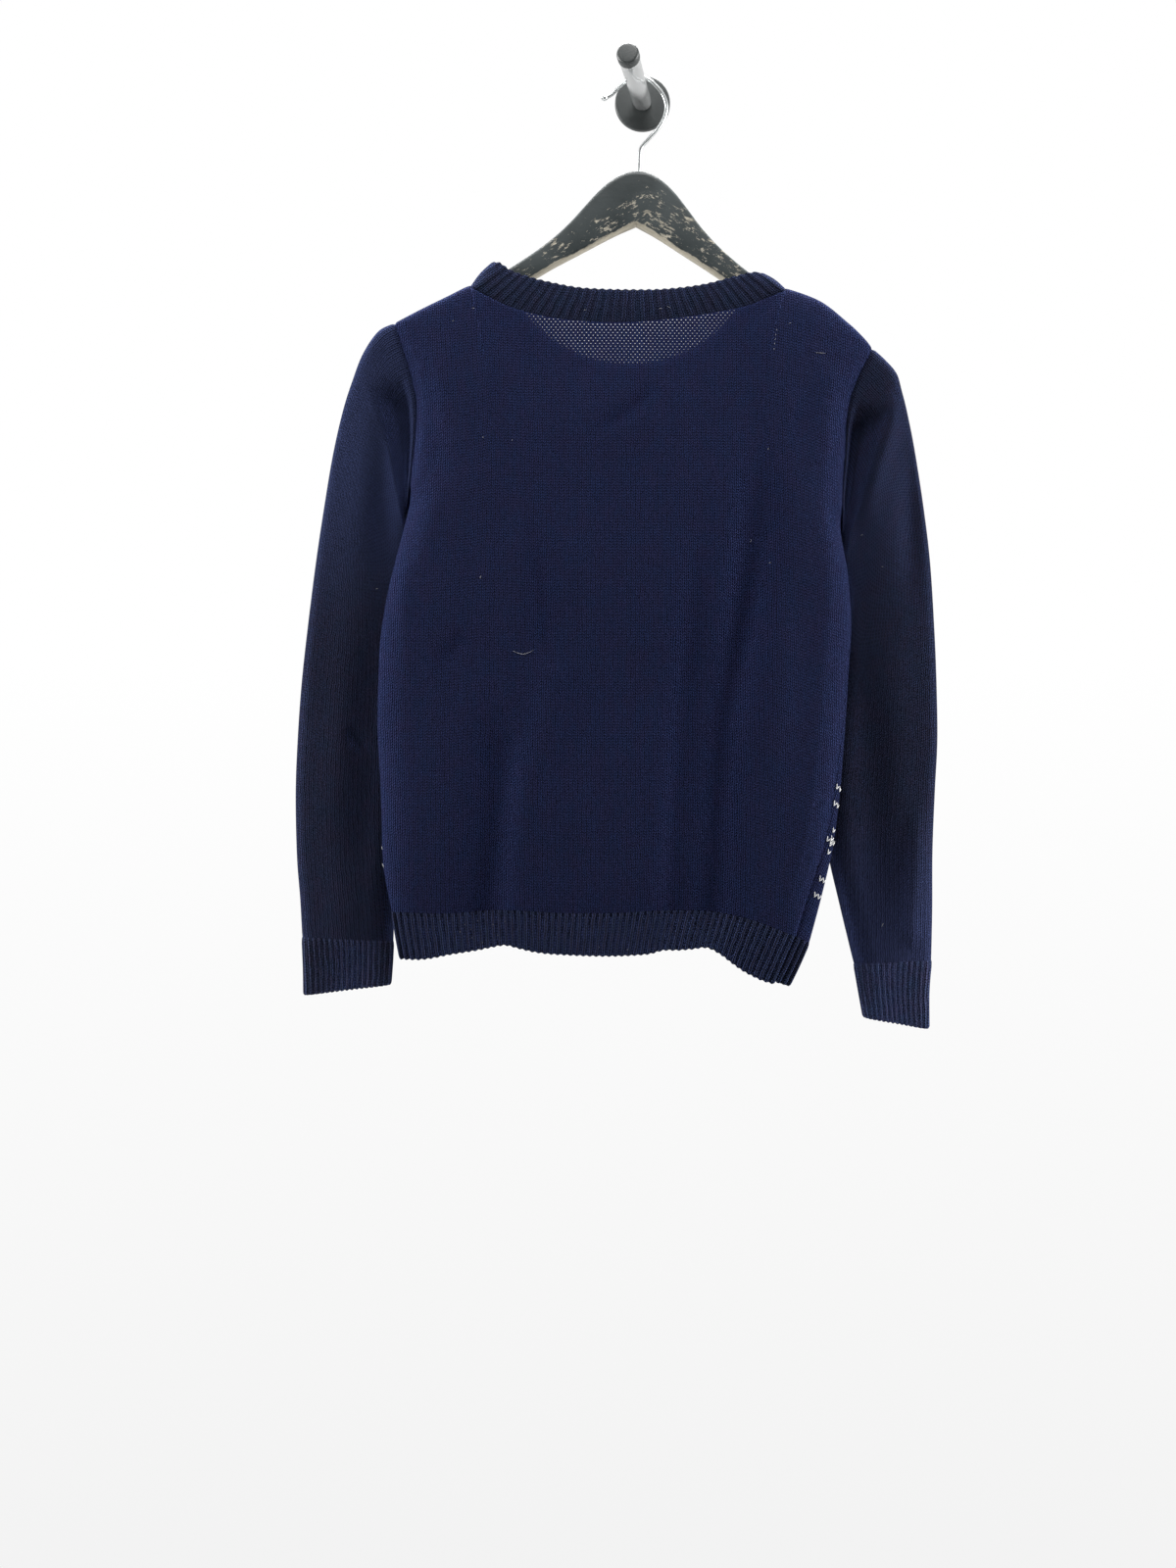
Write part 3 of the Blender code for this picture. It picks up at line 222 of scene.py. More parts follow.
# Creases: line of x, z points, half width, depth, and shares over which it fades at its
# first and last end. A negative depth is a ridge.
BACK_CREASES = (
    (((104, -250), (98.6, -315), (90.5, -394), (77.8, -475), (64.6, -554.5), (60.5, -617),
      (56.3, -697)), 18, 8.6, 0.45, 0),
    (((57, -300), (45, -420), (32, -560), (24, -705)), 15, 5.6, 0.6, 0),
    (((-122, -500), (-126, -599.5), (-138, -701)), 20, 6.2, 0.4, 0),
    (((18, -248), (-14, -277), (-47, -301)), 6, 2.4, 0.4, 0.4),
    (((-73.5, -483), (-82.5, -550), (-100, -594), (-106.5, -701)), 13, -2.4, 0.1, 0),
    (((-95.6, -350), (-86.5, -439), (-82, -505)), 9, 2.2, 0.4, 0.4),
    (((-179.5, -496.5), (-162, -479), (-146, -461.5)), 6, 1.8, 0.4, 0.4),
    (((-201, -394), (-205, -435), (-203.5, -475)), 8, -1.6, 0.4, 0.4),
    (((-195, -250), (-176, -300), (-182, -372)), 10, 1.6, 0.4, 0.4),
    (((150, -235), (133, -282), (120, -330)), 13, 1.8, 0.4, 0.5),
    (((120, -420), (112, -520), (104, -610)), 14, -1.8, 0.3, 0.4),
)
FRONT_CREASES = (
    (((-90, -330), (-80, -450), (-96, -700)), 16, 3.2, 0.3, 0),
    (((40, -360), (52, -520), (30, -700)), 18, 3.6, 0.3, 0),
    (((-150, -250), (-120, -330), (-100, -390)), 13, 2.4, 0.4, 0.4),
    (((120, -260), (95, -330), (80, -380)), 13, 2.4, 0.4, 0.4),
    (((110, -520), (118, -620), (104, -705)), 14, 2.6, 0.4, 0),
    (((-30, -560), (-34, -640), (-28, -698)), 14, -2.2, 0.4, 0),
)
SLEEVE_LEFT_CREASES = (
    (((-256, -545), (-247, -555), (-237, -567)), 5, 2.6, 0.3, 0.3),
    (((-218, -250), (-222, -340), (-222, -430)), 13, 3, 0.3, 0.4),
    (((-226, -430), (-236, -560), (-240, -690)), 16, 4, 0.4, 0.3),
)
SLEEVE_RIGHT_CREASES = (
    (((217, -252), (212, -288.5), (198, -333), (187, -381)), 8, -4.2, 0.3, 0.6),
    (((228, -290), (229, -360), (232, -450)), 9, 3.5, 0.4, 0.5),
    (((189, -265.5), (181, -330), (174, -403.5)), 8, 2.2, 0.3, 0.3),
    (((238, -600), (234, -669), (229, -740)), 10, -6.6, 0.4, 0.2),
    (((186, -470), (196, -590), (199, -720)), 16, 4, 0.4, 0.3),
)
# Above this line the back hangs in one layer behind the neck
CRESCENT = (
    (-132, -170), (-127, -174), (-110, -191.5), (-91, -213), (-65.6, -230.6), (-40.4, -242),
    (-15.3, -245.3), (20.6, -240.5), (54.3, -223.2), (86, -195), (100, -175), (105, -170),
)
WIRE_BALL = 2.6  # radius of the ball at the wire's tip
HANGER_STATIONS = 80
HANGER_SIDES = 40
HANGER_ENDS = 0.999  # share of its half length that the rounded ends' last ring reaches
TURNED_SIDES = 96
WIRE_ROUND = 6  # steps of a quarter of the wire's round

# The band on the front, charted in stitches from its middle row up; it is the same below
SNOWFLAKE = (
    "#####.#.#####",
    "...#.###.#...",
    "....#.#.#....",
    "..##.###.##..",
    "..##..#..##..",
    ".#....#....#.",
    "......#......",
    ".....###.....",
    "......#......",
)
BAND_REPEAT = 23  # stitches from one small cross to the next
BAND_ROW = 36  # courses from the hem's seam to the band's middle
CROSS_AT = 1  # stitches from the side seam to the first cross
PAIR_REPEAT = 5
# row, stitches from the right side's seam to the first pair, and from the left side's
PAIR_ROWS = ((-20, 1, 0), (-14, 1, 0), (13, 0, 3), (19, 0, 3))
DOT_ROWS = (-4, 4)

# A leg of a white stitch: where along it rings are and their radii, how far out from the
# stitch's middle it stands and leans, its half length, its rise off the cloth at the middle,
# how far its ends sink, and how flat it is
LEG_SHARES = (-1.0, -0.7, 0.0, 0.7, 1.0)
LEG_RADII = (0.2, 0.42, 0.52, 0.42, 0.2)
LEG_FOOT = 1.1
LEG_LEAN = 0.95
LEG_HALF = 2.1
LEG_OUT = 0.5
LEG_BOW = 0.25
LEG_FLAT = 0.8
LEG_SIDES = 6


# --- small geometry helpers -------------------------------------------------------

def spread(grid, by, closed=False, axis=0):
    """The grid with more lines along an axis, on smooth curves through its points."""
    g = np.moveaxis(np.asarray(grid, float), axis, 0)
    if closed:
        padded = np.concatenate([g[-1:], g, g[:2]])
    else:
        padded = np.concatenate([2 * g[:1] - g[1:2], g, 2 * g[-1:] - g[-2:-1]])
    spans = len(padded) - 3
    out = []
    for k in range(spans):
        a, b, c, d = padded[k:k + 4]
        for step in range(by):
            t = step / by
            out.append(0.5 * (2 * b + (c - a) * t + (2 * a - 5 * b + 4 * c - d) * t ** 2
                              + (3 * b - a - 3 * c + d) * t ** 3))
    if not closed:
        out.append(g[-1])
    return np.moveaxis(np.array(out), 0, axis)


def through(points, per_span=10):
    """Dense smooth curve through the given points."""
    return spread(points, per_span)


def length(line):
    return float(np.linalg.norm(np.diff(line, axis=0), axis=1).sum())


def run_of(line):
    """Length run along a polyline at each of its points."""
    return np.concatenate([[0.0], np.cumsum(np.linalg.norm(np.diff(line, axis=0), axis=1))])


def along(line, shares, values=None):
    """A polyline's points, or values given at them, at the given shares of its length."""
    run = run_of(line)
    values = line if values is None else values
    where = np.asarray(shares) * run[-1]
    return np.stack([np.interp(where, run, column) for column in values.T], axis=-1)


def quarter(x):
    """Rises from 0 to 1 along a quarter of an ellipse."""
    x = np.clip(x, 0.0, 1.0)
    return np.sqrt(1.0 - (1.0 - x) ** 2)


def ease(x):
    """Rises from 0 to 1, level at both ends."""
    x = np.clip(x, 0.0, 1.0)
    return x * x * (3.0 - 2.0 * x)


def table(rows, at, column):
    """One column of a table, read at a value of its first column."""
    rows = sorted(rows)
    return float(np.interp(at, [r[0] for r in rows], [r[column] for r in rows]))


def unit(vectors):
    return vectors / np.maximum(np.linalg.norm(vectors, axis=-1, keepdims=True), 1e-9)


def normals(grid, closed):
    """Unit normals of a grid of points, rows by columns."""
    if closed:
        across = np.roll(grid, -1, axis=1) - np.roll(grid, 1, axis=1)
    else:
        across = np.gradient(grid, axis=1)
    up = np.gradient(grid, axis=0)
    return unit(np.cross(unit(across), unit(up)))


def hung(x, z):
    """A point of the hanger's own frame, in world x and z."""
    c, s = math.cos(HANG_TILT), math.sin(HANG_TILT)
    return (HANG_AT[0] + x * c + z * s, HANG_AT[1] - x * s + z * c)


# --- body panels ------------------------------------------------------------------

def side_rows(side, arm):
    """Points x, z up one side of a panel, from the rib seam over the underarm."""
    low = along(through(side), np.linspace(0.0, 1.0, SIDE_ROWS + 1))
    high = along(through(arm), ARM_SHARES)
    return np.vstack([low, high])


def row_shares():
    low = np.linspace(0.0, UNDERARM_SHARE, SIDE_ROWS + 1)
    high = UNDERARM_SHARE + (1.0 - UNDERARM_SHARE) * np.asarray(ARM_SHARES)
    return np.concatenate([low, high])


def edge_angles(turn, is_back):
    """Angles round the side's edge, from the seam in to where the panel is flat."""
    start = turn if is_back else -turn
    return np.radians(np.linspace(start, 90.0, EDGE_COLUMNS + 1))


def side_distance(angles):
    """How far in from the edge a point lies at an angle round it."""
    return SIDE_ROUND * (1.0 - np.cos(angles))


def side_depth(hanging):
    """Depth y of the side's edge at a height below the underarm."""
    return UNDERARM_Y - SIDE_FORWARD * math.sin(min(max(hanging / SIDE_FORWARD_DROP, 0.0), 1.0)
                                                * math.pi / 2)


def armhole_half_depth(below_tip, above_underarm):
    return (OVER_HANGER * float(quarter(below_tip / OVER_HANGER_DROP))
            * float(quarter(above_underarm / UNDERARM_RISE)))


def edge_angle(column, count, left, right):
    """Angle round the side at a column of a row, or None between the two sides."""
    if column < len(left):
        return left[column]
    if column >= count - len(right):
        return right[count - 1 - column]
    return None


def panel_point(is_back, z, top, top_depth, top_width, edges):
    """Depth y of a panel's outer point.

    edges holds, for the nearer side: depth of the edge, distance in from it, its angle
    or None past the round, and how much of the front's own lip is there. Where the front
    turns round the side it follows the back's round.
    """
    edge_y, inset, angle, lip = edges
    if angle is not None and angle < 0.0:
        is_back, angle = True, -angle
    sign = -1.0 if is_back else 1.0
    middle = table(BODY_DEPTH, z, 1 if is_back else 2) - HANG_Y
    reach = top_depth + (abs(middle) - top_depth) * float(quarter((top - z) / top_width))
    flat_y = HANG_Y + sign * reach
    if is_back:
        share = 1.0 if angle is None else math.sin(angle)
        return edge_y + (flat_y - edge_y) * share
    slope = FRONT_SLOPE * lip + SIDE_ROUND * (1.0 - lip)
    lip_y = edge_y + FRONT_LIP * lip * float(quarter(inset / FRONT_LIP_WIDTH))
    return lip_y + (flat_y - lip_y) * float(ease(inset / slope))


def panel(is_back):
    """Outer points of the back or front, rows up from the rib seam."""
    left = side_rows(SIDE_LEFT, ARM_LEFT_BACK if is_back else ARM_LEFT_FRONT)
    right = side_rows(SIDE_RIGHT, ARM_RIGHT_BACK if is_back else ARM_RIGHT_FRONT)
    hem = through(HEM_SEAM_BACK if is_back else HEM_SEAM_FRONT)
    neck_seam = through(NECK_SEAM_BACK if is_back else NECK_SEAM_FRONT)
    tops = (through(SHOULDER_LEFT), neck_seam, through(SHOULDER_RIGHT))
    neck_half = NECK_BACK if is_back else NECK_FRONT
    shares = row_shares()
    inner_columns = 2 * SHOULDER_COLUMNS + NECK_COLUMNS
    columns = inner_columns + 2 * EDGE_COLUMNS + 1
    angles_left = edge_angles(0.0, is_back)
    inset_left = side_distance(angles_left)
    grid = np.zeros((len(shares), columns, 3))
    for r, v in enumerate(shares):
        a, b = left[r], right[r]
        width = float(np.linalg.norm(b - a))
        turn = table(SEAM_TURN_RIGHT, b[1], 1) if r <= SIDE_ROWS else 0.0
        angles_right = edge_angles(turn, is_back)
        inset_right = side_distance(angles_right)[::-1]
        rounded_share = SIDE_ROUND / width
        flat_shares = np.linspace(rounded_share, 1.0 - rounded_share, inner_columns + 1)[1:-1]
        across = np.concatenate([inset_left / width, flat_shares, 1.0 - inset_right / width])
        hem_points = along(hem, across)
        top_points, depths, widths = top_line(tops, neck_half, inset_left, inset_right)
        lift_left = a - ((1.0 - v) * left[0] + v * left[-1])
        lift_right = b - ((1.0 - v) * right[0] + v * right[-1])
        for c, u in enumerate(across):
            x, z = ((1.0 - v) * hem_points[c] + v * top_points[c]
                    + (1.0 - u) * lift_left + u * lift_right)
            on_left = c <= (columns - 1) // 2
            nearer = left if on_left else right
            side, low, tip = nearer[r], nearer[SIDE_ROWS], nearer[-1]
            inset = u * width if on_left else (1.0 - u) * width
            if r <= SIDE_ROWS:
                edge_y = side_depth(low[1] - side[1])
                lip = 1.0
            else:
                half = armhole_half_depth(tip[1] - side[1], side[1] - low[1])
                middle_y = UNDERARM_Y if r < len(shares) - 1 else HANG_Y
                edge_y = middle_y + (-half if is_back else half)
                lip = float(ease(1.0 - (side[1] - low[1]) / UNDERARM_RISE))
            edges = (edge_y, inset, edge_angle(c, columns, angles_left, angles_right), lip)
            y = panel_point(is_back, z, top_points[c][1], depths[c], widths[c], edges)
            grid[r, c] = (x, y, z)
    return grid


def top_line(tops, neck_half, inset_left, inset_right):
    """Points, half depths and rounding heights along shoulder, neck and shoulder."""
    first, neck, last = tops
    rest = np.linspace(SIDE_ROUND, length(first), SHOULDER_COLUMNS + 1)[1:]
    left = along(first, np.concatenate([inset_left, rest]) / length(first))
    rest = np.linspace(0.0, length(last) - SIDE_ROUND, SHOULDER_COLUMNS + 1)[1:]
    right = along(last, np.concatenate([rest[:-1], length(last) - inset_right])
                  / length(last))
    turned = np.linspace(0.0, math.pi, NECK_COLUMNS + 1)
    middle = along(neck, (1.0 - np.cos(turned)) / 2.0)[1:]
    points = np.vstack([left, middle, right])
    part = slice(len(left) - 1, len(left) + len(middle))
    depths = np.zeros(len(points))
    depths[part] = loop_depth(points[part], neck_half)
    widths = np.full(len(points), OVER_HANGER_DROP)
    widths[part] += NECK_FALL * np.sin(turned)
    return points, depths, widths


def drop_from_arms(points):
    """How far points x, z of the neck's loop lie below the hanger's two arms."""
    left = points[0, 1] + ARM_SLOPE * (points[:, 0] - points[0, 0]) - points[:, 1]
    right = points[-1, 1] + ARM_SLOPE * (points[-1, 0] - points[:, 0]) - points[:, 1]
    return np.minimum(left, right)


def loop_depth(points, neck_half):
    """Half depth of the neck's loop: it clears the hanger's arm as soon as it leaves it."""
    across = (points[:, 0] - points[0, 0]) / (points[-1, 0] - points[0, 0])
    return (OVER_HANGER * quarter(drop_from_arms(points) / OVER_HANGER_DROP)
            + (neck_half - OVER_HANGER) * np.sin(across * math.pi))


def neck_normals(seam, sign):
    """Directions out of the cloth along the neck seam: up over the arms, then level."""
    up = np.clip(1.0 - drop_from_arms(seam[:, [0, 2]]) / OVER_HANGER_DROP, 0.0, 1.0)
    lean = np.linspace(-ARM_SLOPE, ARM_SLOPE, len(seam))
    level = sign * np.sqrt(1.0 - up ** 2)
    return unit(np.stack([up * lean, level, up], axis=-1))


# --- sleeves and cuffs ------------------------------------------------------------

def tube_section(row, bow=None, wall_inset=0.0, likeness=0.0):
    """One ring of a flat tube: down its back from the outer point, up its front.

    likeness says how far the ring's points still follow the armhole's spacing.
    """
    outer = np.array(row[0:3])[[0, 2, 1]]
    inner = np.array(row[3:6])[[0, 2, 1]]
    half = row[6] - wall_inset
    chord = unit(inner - outer)
    outer, inner = outer + chord * wall_inset, inner - chord * wall_inset
    span = float(np.linalg.norm(inner - outer))
    top = TUBE_TOP_ROUND * (1.0 - np.cos(np.radians(TUBE_TOP_ANGLES)))
    end = span - TUBE_END_ROUND * (1.0 - np.cos(np.radians(TUBE_END_ANGLES)))
    middle = np.linspace(top[-1], end[0], TUBE_MIDDLE_POINTS + 2)[1:-1]
    armhole_place = (1.0 - np.array((0.0,) + ARM_SHARES)[::-1]) * span
    place = (1.0 - likeness) * np.concatenate([top, middle, end]) + likeness * armhole_place
    end_round = TUBE_END_ROUND + likeness * (UNDERARM_RISE - TUBE_END_ROUND)
    depth = half * np.minimum(quarter(place / TUBE_TOP_ROUND),
                              quarter((span - place) / end_round))
    line = outer + (inner - outer) * (place / span)[:, None]
    back, front = line.copy(), line.copy()
    if bow is not None:
        back[:, [0, 2]] += bow[0]
        front[:, [0, 2]] += bow[1]
    back[:, 1] -= depth
    front[:, 1] += depth
    return np.vstack([back, front[-2:0:-1]])


def chord_offsets(points):
    """How far a row of points lies off the straight line between its ends, in x and z."""
    flat = points[:, [0, 2]]
    run = run_of(flat)
    share = (run / run[-1])[:, None]
    return flat - (flat[0] * (1.0 - share) + flat[-1] * share)


def sleeve(back, front, on_left, rows):
    """Rings of the sleeve, from the armhole seam down to the cuff seam."""
    column = 0 if on_left else -1
    seam_back = back[SIDE_ROWS:, column][::-1]
    seam_front = front[SIDE_ROWS:, column][::-1]
    rings = [np.vstack([seam_back, seam_front[-2:0:-1]])]
    linings = [rings[0] - seam_normals(rings[0]) * CLOTH]
    bow = (chord_offsets(seam_back), chord_offsets(seam_front))
    for k, row in enumerate(rows):
        part = BOW_SHARES[k] if k < len(BOW_SHARES) else 0.0
        bows = (bow[0] * part, bow[1] * part)
        rings.append(tube_section(row, bows, 0.0, part))
        linings.append(tube_section(row, bows, CLOTH, part))
    return np.array(rings), np.array(linings)


def seam_normals(ring):
    """Directions out of the armhole's loop: along Y on its sides, round its two ends."""
    count = len(ARM_SHARES) + 1
    top, low = ring[0], ring[count - 1]
    chord = unit(low - top)
    run = (ring - top) @ chord
    span = float(np.linalg.norm(low - top))
    up = np.clip(1.0 - run / OVER_HANGER_DROP, 0.0, 1.0)
    down = np.clip(1.0 - (span - run) / UNDERARM_TURN, 0.0, 1.0)
    side = np.sign(ring[:, 1] - HANG_Y)
    side[[0, count - 1]] = 0.0
    flat = np.sqrt(1.0 - np.maximum(up, down) ** 2)
    return unit(side[:, None] * flat[:, None] * np.array((0.0, 1.0, 0.0))
                + (down - up)[:, None] * chord)


def outward(grid, closed, centre):
    """Normals of a grid that point away from a centre."""
    n = normals(grid, closed)
    return -n if (n * (grid - centre)).sum() < 0.0 else n


def share_side_normals(n_back, n_front):
    """Both panels cut square to the cloth at the side and shoulder seams."""
    for column in (0, -1):
        shared = unit(n_back[:SIDE_ROWS + 1, column] + n_front[:SIDE_ROWS + 1, column])
        n_back[:SIDE_ROWS + 1, column] = shared
        n_front[:SIDE_ROWS + 1, column] = shared
    shoulder = EDGE_COLUMNS + SHOULDER_COLUMNS
    for columns in (slice(0, shoulder + 1), slice(-shoulder - 1, None)):
        shared = unit(n_back[-1, columns] + n_front[-1, columns])
        n_back[-1, columns] = shared
        n_front[-1, columns] = shared


def even_out(n, corner):
    """Evens the normals out round a neck corner, where the cloth bends two ways."""
    columns = range(corner - 3, corner + 4)
    for _ in range(EVEN_PASSES):
        before = n.copy()
        for column in columns:
            around = (before[-8:-2, column] + before[-6:, column]
                      + before[-7:-1, column - 1] + before[-7:-1, column + 1])
            n[-7:-1, column] = unit(before[-7:-1, column] + 0.5 * around)


def share_arm_normals(n_back, n_front, ring, on_left):
    """The panels cut square to the armhole's loop, as the sleeve is."""
    column = 0 if on_left else -1
    count = len(ARM_SHARES) + 1
    loop = seam_normals(ring)
    for k in range(1, count - 1):
        row = len(ARM_SHARES) + SIDE_ROWS - k
        n_back[row, column] = loop[k]
        n_front[row, column] = loop[len(ring) - k]


NECK_FIRST = EDGE_COLUMNS + SHOULDER_COLUMNS  # the panels' column at the neck's left


# --- finer cloth ------------------------------------------------------------------

FINER = 8  # fine steps to one step of the solids' grids
SLEEVE_FINER = (9, 8)  # the same down and round a sleeve
WALE = 3.75  # width of one stitch
COURSE = 2.38  # height of one stitch
SEAM_GROOVE = 1.1  # depth of the groove along a seam
SEAM_WIDTH = 1.5
HEM_DIP = 0.1  # share of that groove where a rib band joins
NECK_DIP = 0.8
LINING_DIP = 0.7  # share of it inside a sleeve
FACING_REACH = 6  # columns over which the way a panel faces is averaged
CALM = 30.0  # waves fade out this close to an edge
# Low waves: random seed and length, then their height, in the panels and in the sleeves
BODY_WAVES = (11, 120.0)
BACK_WAVE = 1.2
FRONT_WAVE = 1.4
SLEEVE_WAVES = {"sleeve_left_cloth": 5, "sleeve_right_cloth": 6}
SLEEVE_WAVE = (90.0, 1.1)
SEAM_SLACK = 5.5  # the sleeve runs on level for this far before it turns back
CUP_DEPTH = 9.0  # how far it then turns back, beside the armhole
CUP_WIDTHS = (4.0, 16.0, 30.0)  # it turns back over the first, stays so, then returns
# Below this height, fading in over the next
CUP_TOP = {"sleeve_left_cloth": -242.0, "sleeve_right_cloth": -264.0}
CUP_FADE = 30.0
PANEL_SWELL = 4.6  # how far the panels stand out inside their edges
PANEL_SWELL_WIDTH = 42.0
PANEL_SWELL_LEVELS = (-520.0, -390.0)  # below the first it is gone
SHOULDER_SWELL = 6.0  # the same below the shoulders
SHOULDER_SWELL_WIDTH = 110.0
SWELL_REACH = 14  # columns the swell is averaged over
SWELL_EDGE = 9.0  # beside an edge it eases off over this
NECK_CORNER_REACH = 10  # columns that are averaged below the neck's two corners
NECK_CORNER_WIDTH = 16.0
NECK_CORNER_DOWN = 14.0
WALES_LEVEL = 170.0  # height below the top over which rows' own slope comes to count
SHOULDER_SEAM = 3.4  # the shoulder's seam lies this far down the back
SHOULDER_SEAM_WIDTH = 1.3
SHOULDER_SEAM_DEPTH = 1.3
SLEEVE_SWELL = 3.8  # how far a sleeve's middle stands out
SLEEVE_SWELL_FADE = 35.0
NECK_LEAN = -0.5  # ribs the neck's ribs lean over by, between seam and edge
RIB_PITCHES = {"neck": 8.25, "hem": 5.8, "cuff": 4.8}
SCALLOP = 0.9  # how far each rib runs past the grooves at a free edge
RIB_STEPS = 8  # columns to one rib
RIB_SHARES = (0.0, 0.04, 0.12, 0.25, 0.4, 0.55, 0.7, 0.82, 0.91, 0.965, 1.0)
RIB_SWELL = 0.4  # how far a hem band's middle stands out
RIB_DEEP = 1.0  # depth of the grooves between ribs
RIB_PROUD = 0.7  # height of the ribs
RIB_RELIEF = {"neck": 0.56, "hem": 1.5, "cuff": 1.5}  # times both in each band
RIB_ROUND = 0.6  # power of a cosine: under 1, the ribs are broad and the grooves tight
# Share of a band over which its ribs rise at the seam, what they start from, and the same
# at its free edge
RIB_FADES = (0.1, 0.25, 0.06, 0.6)
EDGE_ROLL = 0.9  # how far a band's free edge rolls in
ROLL_WIDTH = 2.2
HEM_POINTS = 24  # along the hem's edge, between its rounded ends
NECK_BULGE = 1.4  # how far the neckband's middle stands out


def finer(grid, rows, columns, closed):
    return spread(spread(grid, rows), columns, closed, axis=1)


def runs(grid, axis):
    """Length run along the lines of a grid, from its first point."""
    steps = np.linalg.norm(np.diff(grid, axis=axis), axis=2)
    start = np.zeros_like(np.take(steps, [0], axis=axis))
    return np.concatenate([start, np.cumsum(steps, axis=axis)], axis=axis)


def fold_field(x, z, folds):
    """Depth of the folds at points: each fold is a line, half width, depth and fades."""
    total = np.zeros(x.shape)
    for line, half_width, depth, fade_top, fade_low in folds:
        dense = through(line, 24)
        share = np.linspace(0.0, 1.0, len(dense))
        away = np.hypot(x[..., None] - dense[:, 0], z[..., None] - dense[:, 1])
        nearest = away.argmin(axis=-1)
        at = share[nearest]
        fade = np.ones(at.shape)
        if fade_top:
            fade = fade * ease(at / fade_top)
        if fade_low:
            fade = fade * ease((1.0 - at) / fade_low)
        total += depth * fade * np.exp(-(away.min(axis=-1) / half_width) ** 2)
    return total


def ripple(x, z, seed, size):
    """Low uneven waves, so that no large area is quite flat."""
    rng = np.random.default_rng(seed)
    total = np.zeros(x.shape)
    for _ in range(7):
        angle, phase = rng.uniform(0.0, math.pi), rng.uniform(0.0, 2 * math.pi)
        wave = rng.uniform(0.6, 1.7) * size
        total += np.sin((x * math.cos(angle) + z * math.sin(angle)) * 2 * math.pi / wave
                        + phase)
    return total / 7.0


def put(name, data):
    """A new object that shows the given mesh, curve, lamp or view."""
    obj = bpy.data.objects.new(name, data)
    bpy.context.scene.collection.objects.link(obj)
    return obj


def round_ring(bm, centre, across, up, sides):
    """Corners round a centre, given two directions as long as the ring reaches in them."""
    ring = []
    for k in range(sides):
        turn = 2.0 * math.pi * k / sides
        place = centre + across * math.cos(turn) + up * math.sin(turn)
        ring.append(bm.verts.new(Vector(place) * MM))
    return ring


def bridge(bm, rings):
    """Faces between rings of corners, one after the other, and over both ends."""
    for low, high in zip(rings, rings[1:]):
        for k in range(len(low)):
            after = (k + 1) % len(low)
            bm.faces.new((low[k], low[after], high[after], high[k]))
    bm.faces.new(rings[0])
    bm.faces.new(rings[-1])


def finish_mesh(name, bm, mats, angle, mesh=None):
    """Makes an object of a shape, smooth but for edges sharper than an angle in degrees."""
    bmesh.ops.recalc_face_normals(bm, faces=bm.faces)
    mesh = mesh or bpy.data.meshes.new(name)
    bm.to_mesh(mesh)
    bm.free()
    mesh.shade_smooth()
    mesh.set_sharp_from_angle(angle=math.radians(angle))
    for mat in mats:
        mesh.materials.append(mat)
    return put(name, mesh)


def grid_mesh(name, outer, inner, closed, stitch, mats, slots=None):
    """A closed cloth wall with the same stitch coordinates on both faces."""
    rows, cols = outer.shape[:2]
    points = np.concatenate([outer.reshape(-1, 3), inner.reshape(-1, 3)]) * MM
    back = rows * cols
    first = np.arange(cols if closed else cols - 1)
    second = (first + 1) % cols
    down = (np.arange(rows - 1) * cols)[:, None]
    a, b = (down + first).ravel(), (down + second).ravel()
    out_faces = np.stack([a, b, b + cols, a + cols], axis=1)
    in_faces = out_faces[:, ::-1] + back
    low = back - cols
    rims = [np.stack([second, first, first + back, second + back], axis=1),
            np.stack([first, second, second + back, first + back], axis=1) + low]
    if not closed:
        up = np.arange(rows - 1) * cols
        rims.append(np.stack([up, up + cols, up + cols + back, up + back], axis=1))
        up = up + cols - 1
        rims.append(np.stack([up + cols, up, up + back, up + cols + back], axis=1))
    faces = np.concatenate([out_faces, in_faces] + rims)
    mesh = bpy.data.meshes.new(name)
    mesh.from_pydata(points.tolist(), [], faces.tolist())
    values = np.tile(stitch.reshape(-1, 2), (2, 1))[faces.ravel()]
    if closed:
        # across the last column, the count runs on in place of starting again
        start = stitch[0, :, 0]
        full = round(float(2 * start[-1] - start[-2] - start[0]))
        column = faces % cols
        over = (column == 0) & (column.max(axis=1, keepdims=True) == cols - 1)
        values[:, 0] += full * over.ravel()
    uv = mesh.uv_layers.new(name="stitch")
    uv.data.foreach_set("uv", values.astype(np.float32).ravel())
    if slots is not None:
        index = np.zeros(len(faces), np.int32)
        index[:2 * len(out_faces)] = np.concatenate(slots).ravel()
        mesh.polygons.foreach_set("material_index", index)
    mesh.update()
    bm = bmesh.new()
    bm.from_mesh(mesh)
    return finish_mesh(name, bm, mats, 60, mesh)


def seam_dip(distance):
    return SEAM_GROOVE * np.exp(-(distance / SEAM_WIDTH) ** 2)


def levelled(field, reach):
    """The field averaged along its rows."""
    padded = np.pad(field, ((0, 0), (reach, reach)), mode="edge")
    total = np.cumsum(np.pad(padded, ((0, 0), (1, 0))), axis=1)
    span = 2 * reach + 1
    return (total[:, span:] - total[:, :-span]) / span


def swell(share):
    """Rises from 0 at an edge to 1, steepest at the edge."""
    return 1.0 - (1.0 - np.clip(share, 0.0, 1.0)) ** 2


